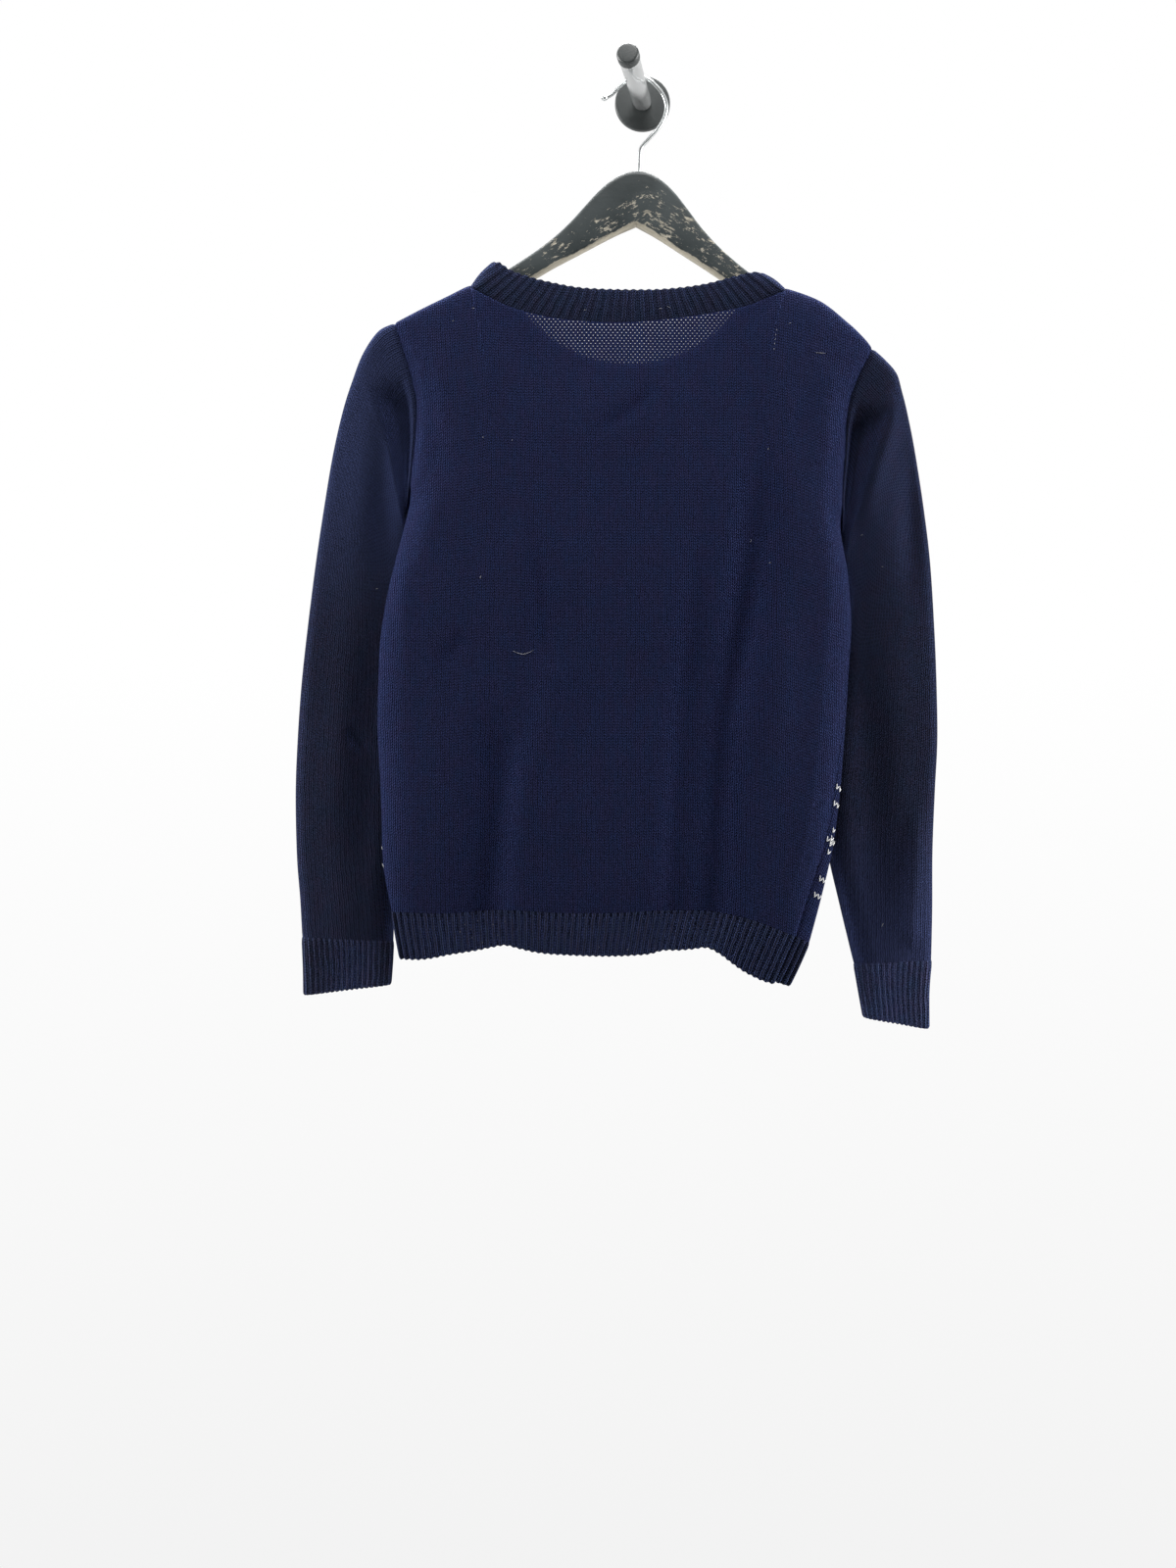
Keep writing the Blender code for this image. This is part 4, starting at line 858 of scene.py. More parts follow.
def calm_neck_corners(outer, from_top):
    """Takes the short waves out of a fine panel's depth below the neck's two corners."""
    columns = np.arange(outer.shape[1])
    flat = levelled(levelled(outer[..., 1], NECK_CORNER_REACH), NECK_CORNER_REACH)
    for corner in (NECK_FIRST * FINER, (NECK_FIRST + NECK_COLUMNS) * FINER):
        near = np.exp(-((columns - corner) / NECK_CORNER_WIDTH) ** 2)
        share = near * ease(from_top / NECK_CORNER_DOWN)
        outer[..., 1] += share * (flat - outer[..., 1])


def seam_dips(edge, up, from_top):
    """How deep the grooves along a panel's seams are at each of its points."""
    dip = seam_dip(edge) + seam_dip(up) * HEM_DIP
    at_neck = np.zeros(edge.shape[1], bool)
    at_neck[NECK_FIRST * FINER:(NECK_FIRST + NECK_COLUMNS) * FINER + 1] = True
    seam = SHOULDER_SEAM_DEPTH * np.exp(
        -((from_top - SHOULDER_SEAM) / SHOULDER_SEAM_WIDTH) ** 2)
    return dip + np.where(at_neck, seam_dip(from_top) * NECK_DIP, seam)


def panel_swells(z, edge, up, from_top):
    """How far a panel stands out inside its edges."""
    low, high = PANEL_SWELL_LEVELS
    side = PANEL_SWELL * ease((z - low) / (high - low))
    shoulder = SHOULDER_SWELL * swell(up / SHOULDER_SWELL_WIDTH)
    rise = (swell(edge / PANEL_SWELL_WIDTH) * swell(from_top / SHOULDER_SWELL_WIDTH)
            * (side + shoulder))
    return levelled(levelled(rise, SWELL_REACH), SWELL_REACH) * ease(edge / SWELL_EDGE)


def fine_panel(name, grid, n, folds, ripples, mats, crescent=None):
    """A panel with its folds, seam grooves and stitch coordinates; returns it and its grid."""
    outer = finer(grid, FINER, FINER, False)
    normal = unit(finer(n, FINER, FINER, False))
    across, up = runs(outer, 1), runs(outer, 0)
    from_top = up[-1:] - up
    edge = np.minimum(across, across[:, -1:] - across)
    calm_neck_corners(outer, from_top)
    dip = seam_dips(edge, up, from_top)
    sign = 1.0 if name.startswith("back") else -1.0
    facing = levelled(np.clip(-sign * normal[..., 1], 0.0, 1.0), FACING_REACH)
    calm = levelled(ease(np.minimum(edge, np.minimum(up, from_top)) / CALM), SWELL_REACH)
    x, z = outer[..., 0], outer[..., 2]
    push = fold_field(x, z, folds) + ripples * ripple(x, z, *BODY_WAVES) * calm
    push -= panel_swells(z, edge, up, from_top)
    outer[..., 1] += sign * push * facing
    outer -= normal * dip[..., None]
    inner = outer - normal * CLOTH
    middle = across.shape[1] // 2
    level = runs(outer * (1.0, 1.0, 0.0), 1)
    across = level + ease(from_top / WALES_LEVEL) * (across - level)
    u = (across - across[:, middle:middle + 1] + outer[:, middle:middle + 1, 0]) / WALE
    stitch = np.stack([u, up / COURSE], axis=-1)
    slots = None
    if crescent is not None:
        x = (outer[:-1, :-1, 0] + outer[1:, 1:, 0]) / 2
        z = (outer[:-1, :-1, 2] + outer[1:, 1:, 2]) / 2
        line = through(crescent)
        level = np.interp(x, line[:, 0], line[:, 1], left=0.0, right=0.0)
        thin = (z > level).astype(np.int32)
        slots = (thin, thin * 2)
    obj = grid_mesh(name, outer, inner, False, stitch, mats, slots)
    return obj, (outer, normal, stitch)


def fine_sleeve(name, rings, linings, folds, mats):
    """A sleeve with its folds and stitch coordinates; returns it and its two grids."""
    rows, cols = SLEEVE_FINER
    outer = finer(rings, rows, cols, True)
    inner = finer(linings, rows, cols, True)
    normal = unit(outer - inner)
    down = runs(outer, 0)
    dip = seam_dip(down) + seam_dip(down[-1:] - down) * HEM_DIP
    fall = ease((down - SEAM_SLACK) / CUP_WIDTHS[0])
    fall = fall * (1.0 - ease((down - SEAM_SLACK - CUP_WIDTHS[1]) / CUP_WIDTHS[2]))
    calm = ease(np.minimum(down, down[-1:] - down) / CALM)
    push = fold_field(outer[..., 0], outer[..., 2], folds)
    wave, wave_height = SLEEVE_WAVE
    waves = ripple(outer[..., 0], outer[..., 2], SLEEVE_WAVES[name], wave)
    push += wave_height * waves * calm
    push += CUP_DEPTH * fall * ease((CUP_TOP[name] - outer[..., 2]) / CUP_FADE)
    facing = np.clip(-normal[..., 1], 0.0, 1.0)
    closed_ring = np.concatenate([outer, outer[:, :1]], axis=1)
    around = runs(closed_ring, 1)
    from_top = np.minimum(around[:, :-1], around[:, -1:] - around[:, :-1])
    share = 2.0 * from_top / around[:, -1:]
    push -= SLEEVE_SWELL * 4.0 * share * (1.0 - share) * ease(down / SLEEVE_SWELL_FADE)
    outer[..., 1] += push * facing
    inner[..., 1] += push * facing
    outer -= normal * dip[..., None]
    inner -= normal * dip[..., None] * LINING_DIP
    u = from_top / WALE
    v = -down / COURSE
    stitch = np.stack([u, v], axis=-1)
    obj = grid_mesh(name, outer, inner, True, stitch, mats)
    return obj, outer, inner


def rib_relief(phase):
    """Height of a rib's surface at a phase from 0 to 1, its ridge at a half."""
    wave = 0.5 - 0.5 * np.cos(2 * math.pi * phase)
    return (RIB_PROUD + RIB_DEEP) * wave ** RIB_ROUND - RIB_DEEP


def band(name, outer, inner, count, closed, mats, height, lean=0.0):
    """A ribbed band between its seam line and its free edge, both given as fine rows."""
    cols = outer.shape[1]
    phase = (np.arange(cols) * count / (cols if closed else cols - 1))[None, :]
    share = np.asarray(RIB_SHARES)[:, None]
    rise, start, fall, end = RIB_FADES
    fade = ease(share / rise + start) * ease((1.0 - share) / fall + end)
    ridge = (phase + lean * share) % 1.0
    relief = rib_relief(ridge) * fade * height
    wave = 0.5 - np.cos(2 * math.pi * ridge) / 2 - 1.0
    beyond = unit(outer[-1] - outer[-2])[None] * wave[..., None] * (SCALLOP * share ** 6)[..., None]
    outer = outer + beyond
    inner = inner + beyond
    n = unit(outer - inner)
    low = runs(outer, 0)
    roll = EDGE_ROLL * ease(1.0 - (low[-1:] - low) / ROLL_WIDTH)
    relief = relief - roll - seam_dip(low) * HEM_DIP
    inner = inner + n * (0.5 * roll)[..., None]
    outer = outer + n * relief[..., None]
    u = 2.0 * (phase + lean * share) + 0.5
    v = -low / COURSE
    stitch = np.stack([np.broadcast_to(u, v.shape), v], axis=-1)
    return grid_mesh(name, outer, inner, closed, stitch, mats)


# --- the garment ------------------------------------------------------------------

def rows_between(lines):
    """A band's rows, down through a few lines of points, on smooth curves."""
    dense = spread(np.array(lines), 12)
    at = np.asarray(RIB_SHARES) * (len(dense) - 1)
    low = np.clip(np.floor(at).astype(int), 0, len(dense) - 2)
    t = (at - low)[:, None, None]
    return dense[low] * (1.0 - t) + dense[low + 1] * t


def closed_line(ring):
    return np.vstack([ring, ring[:1]])


def spaced_ring(ring, count):
    """Points evenly round a ring, the same number for each of a count of ribs."""
    return along(closed_line(ring), np.arange(count * RIB_STEPS) / (count * RIB_STEPS))


def hem_row(is_back):
    """The hem's edge as one row of points, finely spaced."""
    line = through(HEM_EDGE_BACK if is_back else HEM_EDGE_FRONT)
    width = length(line)
    left = edge_angles(0.0, is_back)
    right = edge_angles(table(SEAM_TURN_RIGHT, line[-1][1], 1), is_back)
    flat = np.linspace(SIDE_ROUND, width - SIDE_ROUND, HEM_POINTS)[1:-1]
    inset = np.concatenate([side_distance(left), flat, width - side_distance(right)[::-1]])
    edge_y = side_depth(SIDE_FORWARD_DROP)
    row = []
    for k, (x, z) in enumerate(along(line, inset / width)):
        edges = (edge_y, min(inset[k], width - inset[k]),
                 edge_angle(k, len(inset), left, right), 1.0)
        row.append((x, panel_point(is_back, z, z + FAR_BELOW, 0.0, 1.0, edges), z))
    return spread(np.array(row), FINER)


def build_garment(mats):
    """The cloth pieces by name, and the front's fine grid."""
    back, front = panel(True), panel(False)
    n_back, n_front = outward(back, False, HEART), outward(front, False, HEART)
    share_side_normals(n_back, n_front)
    first = NECK_FIRST
    last = first + NECK_COLUMNS + 1
    n_back[-1, first:last] = neck_normals(back[-1, first:last], -1.0)
    n_front[-1, first:last] = neck_normals(front[-1, first:last], 1.0)
    for n in (n_back, n_front):
        for corner in (first, last - 1):
            even_out(n, corner)
    tubes = {}
    for on_left, rows in ((True, SLEEVE_LEFT), (False, SLEEVE_RIGHT)):
        tubes[on_left] = sleeve(back, front, on_left, rows)
        share_arm_normals(n_back, n_front, tubes[on_left][0][0], on_left)
    made = {}
    made["back"], back_grid = fine_panel("back_cloth", back, n_back, BACK_CREASES, BACK_WAVE,
                                         mats["back"], CRESCENT)
    made["front"], front_grid = fine_panel("front_cloth", front, n_front, FRONT_CREASES,
                                           FRONT_WAVE, mats["front"])
    for on_left, side, folds, rows in ((True, "left", SLEEVE_LEFT_CREASES, CUFF_LEFT),
                                       (False, "right", SLEEVE_RIGHT_CREASES, CUFF_RIGHT)):
        name, cuff = "sleeve_" + side, "cuff_" + side
        made[name], outer, inner = fine_sleeve(name + "_cloth", *tubes[on_left], folds, mats[name])
        made[cuff] = build_cuff(cuff + "_cloth", outer[-1], inner[-1], rows, mats[cuff])
    for is_back, key, grid in ((True, "hem_back", back_grid), (False, "hem_front", front_grid)):
        seam, seam_n = grid[0][0], grid[1][0]
        edge = hem_row(is_back)
        count = round(length(seam) / RIB_PITCHES["hem"])
        shares = np.linspace(0.0, 1.0, count * RIB_STEPS + 1)
        top, low = along(seam, shares), along(edge, shares)
        top_n = unit(along(seam, shares, seam_n))
        rows = rows_between((top, (top + low) / 2 + top_n * RIB_SWELL, low))
        n = np.broadcast_to(top_n, rows.shape)
        made[key] = band(key + "_cloth", rows, rows - n * RIB_WALL, count, False, mats["hem"],
                         RIB_RELIEF["hem"])
    made["neck"] = build_neckband(back_grid, front_grid, mats["neck"])
    return made, front_grid


def build_cuff(name, seam, lining, rows, mats):
    """A cuff from the sleeve's last ring, outside and inside, down to its free edge."""
    count = round(length(closed_line(seam)) / RIB_PITCHES["cuff"])
    lines, linings = [spaced_ring(seam, count)], [spaced_ring(lining, count)]
    for row in rows:
        lines.append(spaced_ring(spread(tube_section(row), FINER, True), count))
        inside = spread(tube_section(row, None, RIB_WALL), FINER, True)
        linings.append(spaced_ring(inside, count))
    outer = rows_between(lines)
    inner = rows_between(linings)
    return band(name, outer, inner, count, True, mats, RIB_RELIEF["cuff"])


def build_neckband(back_grid, front_grid, mats):
    """The neckband: one ring, from both panels' neck seams to its free edge."""
    first = NECK_FIRST * FINER
    last = first + NECK_COLUMNS * FINER
    loops, count = [], 0
    for grid, edge, half, sign in ((back_grid, NECK_EDGE_BACK, NECK_BACK, -1.0),
                                   (front_grid, NECK_EDGE_FRONT, NECK_FRONT, 1.0)):
        seam, seam_n = grid[0][-1, first:last + 1], grid[1][-1, first:last + 1]
        ribs = round(length(seam) / RIB_PITCHES["neck"])
        shares = np.linspace(0.0, 1.0, ribs * RIB_STEPS + 1)
        top = along(through(edge), shares)
        rim = np.stack([top[:, 0], HANG_Y + sign * loop_depth(top, half), top[:, 1]], axis=-1)
        loops.append((along(seam, shares), unit(along(seam, shares, seam_n)), rim))
        count += ribs
    seam, seam_n, rim = [np.vstack([loops[0][k], loops[1][k][-2:0:-1]]) for k in range(3)]
    grid = np.array([seam, (seam + rim) / 2, rim])
    normal = outward(grid, True, grid.mean(axis=1, keepdims=True))
    grid[1] += normal[1] * NECK_BULGE
    normal[0] = seam_n
    outer = rows_between(grid)
    n = unit(rows_between(normal))
    return band("neckband_cloth", outer, outer - n * RIB_WALL, count, True, mats,
                RIB_RELIEF["neck"], NECK_LEAN)


# --- materials --------------------------------------------------------------------

class Value:
    """A number in a shader, so that patterns can be written as plain sums."""

    def __init__(self, tree, socket):
        self.tree = tree
        self.socket = socket

    def op(self, kind, *others):
        node = self.tree.nodes.new("ShaderNodeMath")
        node.operation = kind
        for slot, value in zip(node.inputs, (self,) + others):
            if isinstance(value, Value):
                self.tree.links.new(value.socket, slot)
            else:
                slot.default_value = value
        return Value(self.tree, node.outputs[0])

    def __add__(self, other):
        return self.op("ADD", other)

    def __sub__(self, other):
        return self.op("SUBTRACT", other)

    def __mul__(self, other):
        return self.op("MULTIPLY", other)

    def fract(self):
        return self.op("FRACT")

    def abs(self):
        return self.op("ABSOLUTE")

    def between(self, low, high):
        """0 below low, 1 above high, smooth in between."""
        node = self.tree.nodes.new("ShaderNodeMapRange")
        node.interpolation_type = "SMOOTHSTEP"
        self.tree.links.new(self.socket, node.inputs["Value"])
        node.inputs["From Min"].default_value = low
        node.inputs["From Max"].default_value = high
        return Value(self.tree, node.outputs[0])


class Shader:
    """A material and the nodes that feed it."""

    def __init__(self, name, colour, roughness, metallic=0.0):
        self.mat = bpy.data.materials.new(name)
        self.mat.use_nodes = True
        self.tree = self.mat.node_tree
        self.main = self.tree.nodes["Principled BSDF"]
        self.set("Base Color", (*colour, 1.0))
        self.set("Roughness", roughness)
        self.set("Metallic", metallic)

    def set(self, socket, value):
        self.main.inputs[socket].default_value = value

    def stitch(self):
        node = self.tree.nodes.new("ShaderNodeUVMap")
        node.uv_map = "stitch"
        return self.axes(node.outputs[0])

    def place(self):
        return self.tree.nodes.new("ShaderNodeTexCoord").outputs["Object"]

    def axes(self, vector):
        node = self.tree.nodes.new("ShaderNodeSeparateXYZ")
        self.tree.links.new(vector, node.inputs[0])
        return [Value(self.tree, out) for out in node.outputs]

    def noise(self, scale, detail=3.0, rough=0.55, stretch=None, offset=0.0, vector=None):
        """Smooth noise about a half, over the object's own coordinates."""
        node = self.tree.nodes.new("ShaderNodeTexNoise")
        node.inputs["Scale"].default_value = scale
        node.inputs["Detail"].default_value = detail
        node.inputs["Roughness"].default_value = rough
        vector = vector or self.place()
        mapping = self.tree.nodes.new("ShaderNodeMapping")
        mapping.inputs["Location"].default_value = (offset, offset * 0.7, offset * 1.3)
        if stretch is not None:
            mapping.inputs["Scale"].default_value = stretch
        self.tree.links.new(vector, mapping.inputs["Vector"])
        self.tree.links.new(mapping.outputs[0], node.inputs["Vector"])
        return Value(self.tree, node.outputs["Fac"])

    def colours(self, share, low, high):
        node = self.tree.nodes.new("ShaderNodeMix")
        node.data_type = "RGBA"
        self.tree.links.new(share.socket, node.inputs["Factor"])
        for slot, value in ((node.inputs[6], low), (node.inputs[7], high)):
            if isinstance(value, tuple):
                slot.default_value = (*value, 1.0)
            else:
                self.tree.links.new(value, slot)
        return node.outputs[2]

    def feed(self, socket, source):
        self.tree.links.new(source.socket if isinstance(source, Value) else source,
                            self.main.inputs[socket])

    def bump(self, height, distance, strength=1.0):
        node = self.tree.nodes.new("ShaderNodeBump")
        node.inputs["Distance"].default_value = distance
        node.inputs["Strength"].default_value = strength
        self.tree.links.new(height.socket, node.inputs["Height"])
        self.tree.links.new(node.outputs[0], self.main.inputs["Normal"])


# The thin place behind the neck is bounded by an arc; the gaps open over its fade
THIN_MIDDLE = (-12.0, -128.0)
THIN_RADIUS = 117.0
THIN_FADE = 11.0
THIN_PAINTED_GLOW = 0.5  # how much lighter the cloth is painted there, as painted light shining through its one layer
THIN_CALM = 0.35  # how much of the stitches' unevenness is left there

STITCH_SLANT = 1.4  # courses a stitch's leg drops between its inner and outer side
# The noises that move wales and courses: scale, detail, reach in stitches and offset
STITCH_STRAY = ((85.0, 2.0, 0.8, 3.1), (70.0, 1.0, 0.5, 7.7))
LOW_TONE = 0.72  # the least tone that patches of the yarn are dimmed to
YARN_BUMP = 0.0013  # height of the stitches' relief, in metres
WARMER = (1.14, 0.95, 0.95)
COOLER = (0.86, 1.05, 1.05)


def scaled(colour, by):
    return tuple(part * share for part, share in zip(colour, by))


def knit(name, dark, light, holes=0.0, painted_light=None, shade=0.0):
    """Plain knit: two slanted legs to a stitch, with a little unevenness and fluff.

    holes is the radius in millimetres of the gaps between stitches where the cloth
    hangs in one layer. painted_light is a height in metres at which the cloth starts to be
    painted lighter, as painted light, one at which it is all lighter, and how much lighter
    it is there. shade is how much darker the grooves between ribs are painted, as painted shade.
    """
    s = Shader(name, dark, 0.88)
    u, v, _ = s.stitch()
    loose = THIN_CALM if holes else 1.0
    u, v = [axis + (s.noise(scale, detail, offset=offset) - 0.5) * (reach * loose)
            for axis, (scale, detail, reach, offset) in zip((u, v), STITCH_STRAY)]
    side = (u.fract() - 0.5).abs()
    leg = (side * (2 * math.pi)).op("SINE").op("MAXIMUM", 0.0).op("POWER", 0.7)
    lobe = ((v - side * STITCH_SLANT) * (2 * math.pi)).op("COSINE") * 0.5 + 0.5
    height = leg * (lobe * 0.62 + 0.38)
    fluff = s.noise(2600.0, 2.0, 0.6)
    yarn = s.noise(420.0, 3.0, 0.6, offset=1.9)
    streaks = s.noise(75.0, 3.0, 0.6, stretch=(1.0, 1.0, 0.08), offset=2.2)
    patch = s.noise(9.0, 3.0, 0.6, offset=5.3) * 0.5 + streaks * 0.5
    groove = side.between(0.34, 0.5)
    # Painted highlight and shade: the stitches' raised legs are painted lighter and the grooves between
    # wales darker
    tone = height * 0.9 + yarn * 0.6 + fluff * 0.3 - groove * 0.35 - 0.27
    tone = (tone * (patch * (2.0 - 2.0 * LOW_TONE) + LOW_TONE)).op("MAXIMUM", 0.0)
    if holes:
        x, _, z = s.axes(s.place())
        from_middle = ((x - THIN_MIDDLE[0] * MM).op("POWER", 2.0)
                       + (z - THIN_MIDDLE[1] * MM).op("POWER", 2.0)).op("SQRT")
        open_share = (from_middle * (-1.0 / MM) + THIN_RADIUS).between(0.0, THIN_FADE)
        # Painted light: the cloth is painted lighter where it hangs in one layer
        tone = tone * (open_share * THIN_PAINTED_GLOW + 1.0)
    hue = s.noise(95.0, 3.0, 0.7, stretch=(1.0, 1.0, 0.6), offset=8.8).between(0.3, 0.7)
    if shade:
        # Painted shade: the grooves between ribs are painted darker
        grooved = ((u - 0.5) * math.pi).op("COSINE")
        tone = tone * (grooved * (-0.5 * shade) + (1.0 - 0.5 * shade))
    tone = tone.op("MINIMUM", 1.0)
    colour = s.colours(tone, dark, s.colours(hue, scaled(light, COOLER), scaled(light, WARMER)))
    # Painted light: between the two heights the cloth is painted lighter, for light falling more on that
    # part
    if painted_light:
        start, full, by = painted_light
        share = s.axes(s.place())[2].between(start, full)
        colour = s.colours(share, colour, s.colours(tone, scaled(dark, by), scaled(light, by)))
    s.feed("Base Color", colour)
    s.feed("Roughness", yarn * 0.16 + 0.8)
    s.bump(height + fluff * 0.25 + yarn * 0.3 - groove * 0.3, YARN_BUMP)
    s.set("Sheen Weight", 0.25)
    s.set("Sheen Roughness", 0.28)
    s.set("Sheen Tint", (0.25, 0.35, 0.95, 1.0))
    s.set("Specular IOR Level", 0.04)
    if holes:
        row = (v * 0.5).op("FLOOR") * -2.0 + v.op("FLOOR")
        beside = ((u + row * 0.5).fract() - 0.5).abs() * WALE
        above = (v.fract() - 0.5).abs() * COURSE
        near = (beside.op("POWER", 2.0) + above.op("POWER", 2.0)).op("SQRT")
        solid = (open_share * -1.0 + 1.0) * holes * 1.6
        s.feed("Alpha", (near + solid).between(holes * 0.8, holes * 1.2))
    return s.mat


def fluffy(name, low, high, scale, detail, bump):
    """Loose yarn or fluff: pale, and uneven in tone."""
    s = Shader(name, high, 0.9)
    fluff = s.noise(scale, detail, 0.6)
    s.feed("Base Color", s.colours(fluff, low, high))
    s.bump(fluff, bump)
    return s, fluff


def white_yarn():
    s, yarn = fluffy("white_yarn", (0.42, 0.43, 0.44), (0.86, 0.86, 0.84), 900.0, 3.0, 0.0003)
    s.feed("Roughness", yarn * 0.2 + 0.74)
    s.set("Sheen Weight", 0.2)
    return s.mat


def pale_lint():
    s, _ = fluffy("pale_lint", (0.09, 0.09, 0.1), (0.3, 0.3, 0.33), 1500.0, 2.0, 0.0001)
    return s.mat


# Along a hanger's arm: how far it runs out and down; and the heights over it, in metres,
# between which the paint's wear fades out towards the top
ARM_RUN = (0.88, 0.477)
ARM_SPARED = (-0.080, -0.062)
METAL_CLOUD = 0.06  # how much a metal's roughness varies


def worn_wood():
    """Black paint rubbed through to pale wood in specks, streaks and along the edges."""
    s = Shader("worn_hanger_paint", (0.05, 0.06, 0.062), 0.5)
    x, y, z = s.axes(s.place())
    grain = s.noise(60.0, 5.0, 0.65, stretch=(1.0, 4.0, 4.0))
    cloud = s.noise(34.0, 4.0, 0.6, offset=2.0)
    paint = s.colours(cloud, (0.014, 0.019, 0.020), (0.052, 0.064, 0.066))
    wood = s.colours(grain, (0.26, 0.23, 0.17), (0.56, 0.52, 0.42))
    beside = (x - HANGER_MIDDLE * MM).abs()
    run = beside * ARM_RUN[0] - z * ARM_RUN[1]
    over = beside * ARM_RUN[1] + z * ARM_RUN[0]
    joined = s.tree.nodes.new("ShaderNodeCombineXYZ")
    for axis, value in zip(joined.inputs, (run * 0.42, y, over * 1.25)):
        s.tree.links.new(value.socket, axis)
    chips = s.noise(300.0, 5.0, 0.8, offset=4.0, vector=joined.outputs[0])
    worn = s.noise(46.0, 2.0, 0.6, offset=1.4)
    spared = over.between(*ARM_SPARED)
    chipped = (chips + (worn - 0.5) * 0.34 - spared * 0.13).between(0.57, 0.60)
    fine = s.noise(520.0, 2.0, 0.6, offset=9.0)
    geometry = s.tree.nodes.new("ShaderNodeNewGeometry")
    facing = s.axes(geometry.outputs["Normal"])[2]
    under = (facing * -1.0 + (cloud - 0.5) * 1.1 + (chips - 0.5) * 0.9).between(0.3, 0.5)
    bare = chipped.op("MAXIMUM", under)
    s.feed("Base Color", s.colours(bare, paint, wood))
    s.feed("Roughness", cloud * 0.25 + 0.36 + bare * 0.15)
    s.bump(bare * -0.6 + grain * 0.3 + fine * 0.12, 0.0005)
    return s.mat


def metal(name, colour, roughness, metallic):
    s = Shader(name, colour, roughness, metallic)
    cloud = s.noise(80.0, 4.0, 0.6)
    s.feed("Base Color", s.colours(cloud, scaled(colour, (0.9, 0.9, 0.9)), colour))
    s.feed("Roughness", cloud * METAL_CLOUD + (roughness - METAL_CLOUD / 2))
    return s.mat


def black_paint(name, roughness):
    s = Shader(name, (0.03, 0.034, 0.034), roughness)
    cloud = s.noise(140.0, 4.0, 0.6)
    s.feed("Base Color", s.colours(cloud, (0.022, 0.026, 0.026), (0.042, 0.047, 0.047)))
    s.feed("Roughness", cloud * 0.25 + (roughness - 0.12))
    s.bump(s.noise(900.0, 2.0), 0.00008)
    return s.mat


# --- hanger and hook --------------------------------------------------------------

def build_hanger(mat):
    """The wooden bow: rounded sections from one tip, over the middle, to the other."""
    top = through(HANGER_TOP + HANGER_TIP[:2], 8)
    under = through(HANGER_UNDER[::-1] + HANGER_TIP[:0:-1], 8)
    shares = np.sin(np.linspace(0.0, math.pi / 2, HANGER_STATIONS) * HANGER_ENDS)
    upper, lower = along(top, shares), along(under, shares)
    mirror = np.array((-1.0, 1.0))
    upper = np.vstack([upper[::-1] * mirror, upper[1:]])
    lower = np.vstack([lower[::-1] * mirror, lower[1:]])
    bm = bmesh.new()
    rings = []
    for high, low in zip(upper, lower):
        middle, half = (high + low) / 2, float(np.linalg.norm(high - low)) / 2
        rise = unit(high - low)
        edge = min(HANGER_ROUND, half * 0.98)
        ring = []
        for turn in np.linspace(0.0, 2 * math.pi, HANGER_SIDES, endpoint=False):
            c, s = math.cos(turn), math.sin(turn)
            across = math.copysign(HANGER_THICK / 2 - edge, c) + edge * c
            along_rise = math.copysign(half - edge, s) + edge * s
            x, z = hung(*(middle + rise * along_rise + np.array((HANGER_MIDDLE, 0.0))))
            ring.append(bm.verts.new(Vector((x, HANG_Y + across, z)) * MM))
        rings.append(ring)
    bridge(bm, rings)
    return finish_mesh("hanger_wood", bm, (mat,), 40)


def build_wire(mat):
    """The steel wire, thicker in a small ball at its tip."""
    smooth = through([(x, HANG_Y, z) for x, z in (hung(*point) for point in WIRE_ROUTE)], 8)
    curve = bpy.data.curves.new("hanger_wire", "CURVE")
    curve.dimensions = "3D"
    curve.bevel_depth = WIRE_RADIUS * MM
    curve.bevel_resolution = WIRE_ROUND
    curve.use_fill_caps = True
    line = curve.splines.new("POLY")
    line.points.add(len(smooth) - 1)
    run = run_of(smooth)
    left = run[-1] - run
    for point, place, rest in zip(line.points, smooth, left):
        point.co = (*(Vector(place) * MM), 1.0)
        inside = abs(rest - WIRE_BALL)
        if inside < WIRE_BALL:
            point.radius = max(1.0, WIRE_BALL / WIRE_RADIUS
                               * math.sqrt(1.0 - (inside / WIRE_BALL) ** 2))
    line.use_smooth = True
    curve.materials.append(mat)
    return put("hanger_wire", curve)


def turned(name, start, end, profile, mat, level_foot=False):
    """A round piece about a line: profile rows are distance along it and radius.

    level_foot cuts its first ring off in the plane of the wall.
    """
    start, end = Vector(start), Vector(end)
    axis = (end - start).normalized()
    across = axis.cross(Vector((0.0, 0.0, 1.0))).normalized()
    up = across.cross(axis)
    bm = bmesh.new()
    rings = []
    for k, (run, radius) in enumerate(profile):
        ring = []
        for s in range(TURNED_SIDES):
            turn = 2.0 * math.pi * s / TURNED_SIDES
            p = start + axis * run + across * (radius * math.cos(turn)) + up * (
                radius * math.sin(turn))
            if level_foot and k == 0:
                p = p + axis * ((start.y - p.y) / axis.y)
            ring.append(bm.verts.new(p * MM))
        rings.append(ring)
    bridge(bm, rings)
    return finish_mesh(name, bm, (mat,), 35)


def rounded(run, radius, edge, steps=5):
    """Profile rows that round a turned piece's rim over."""
    return [(run - edge + edge * math.sin(a), radius - edge + edge * math.cos(a))
            for a in np.linspace(0.0, math.pi / 2, steps)]


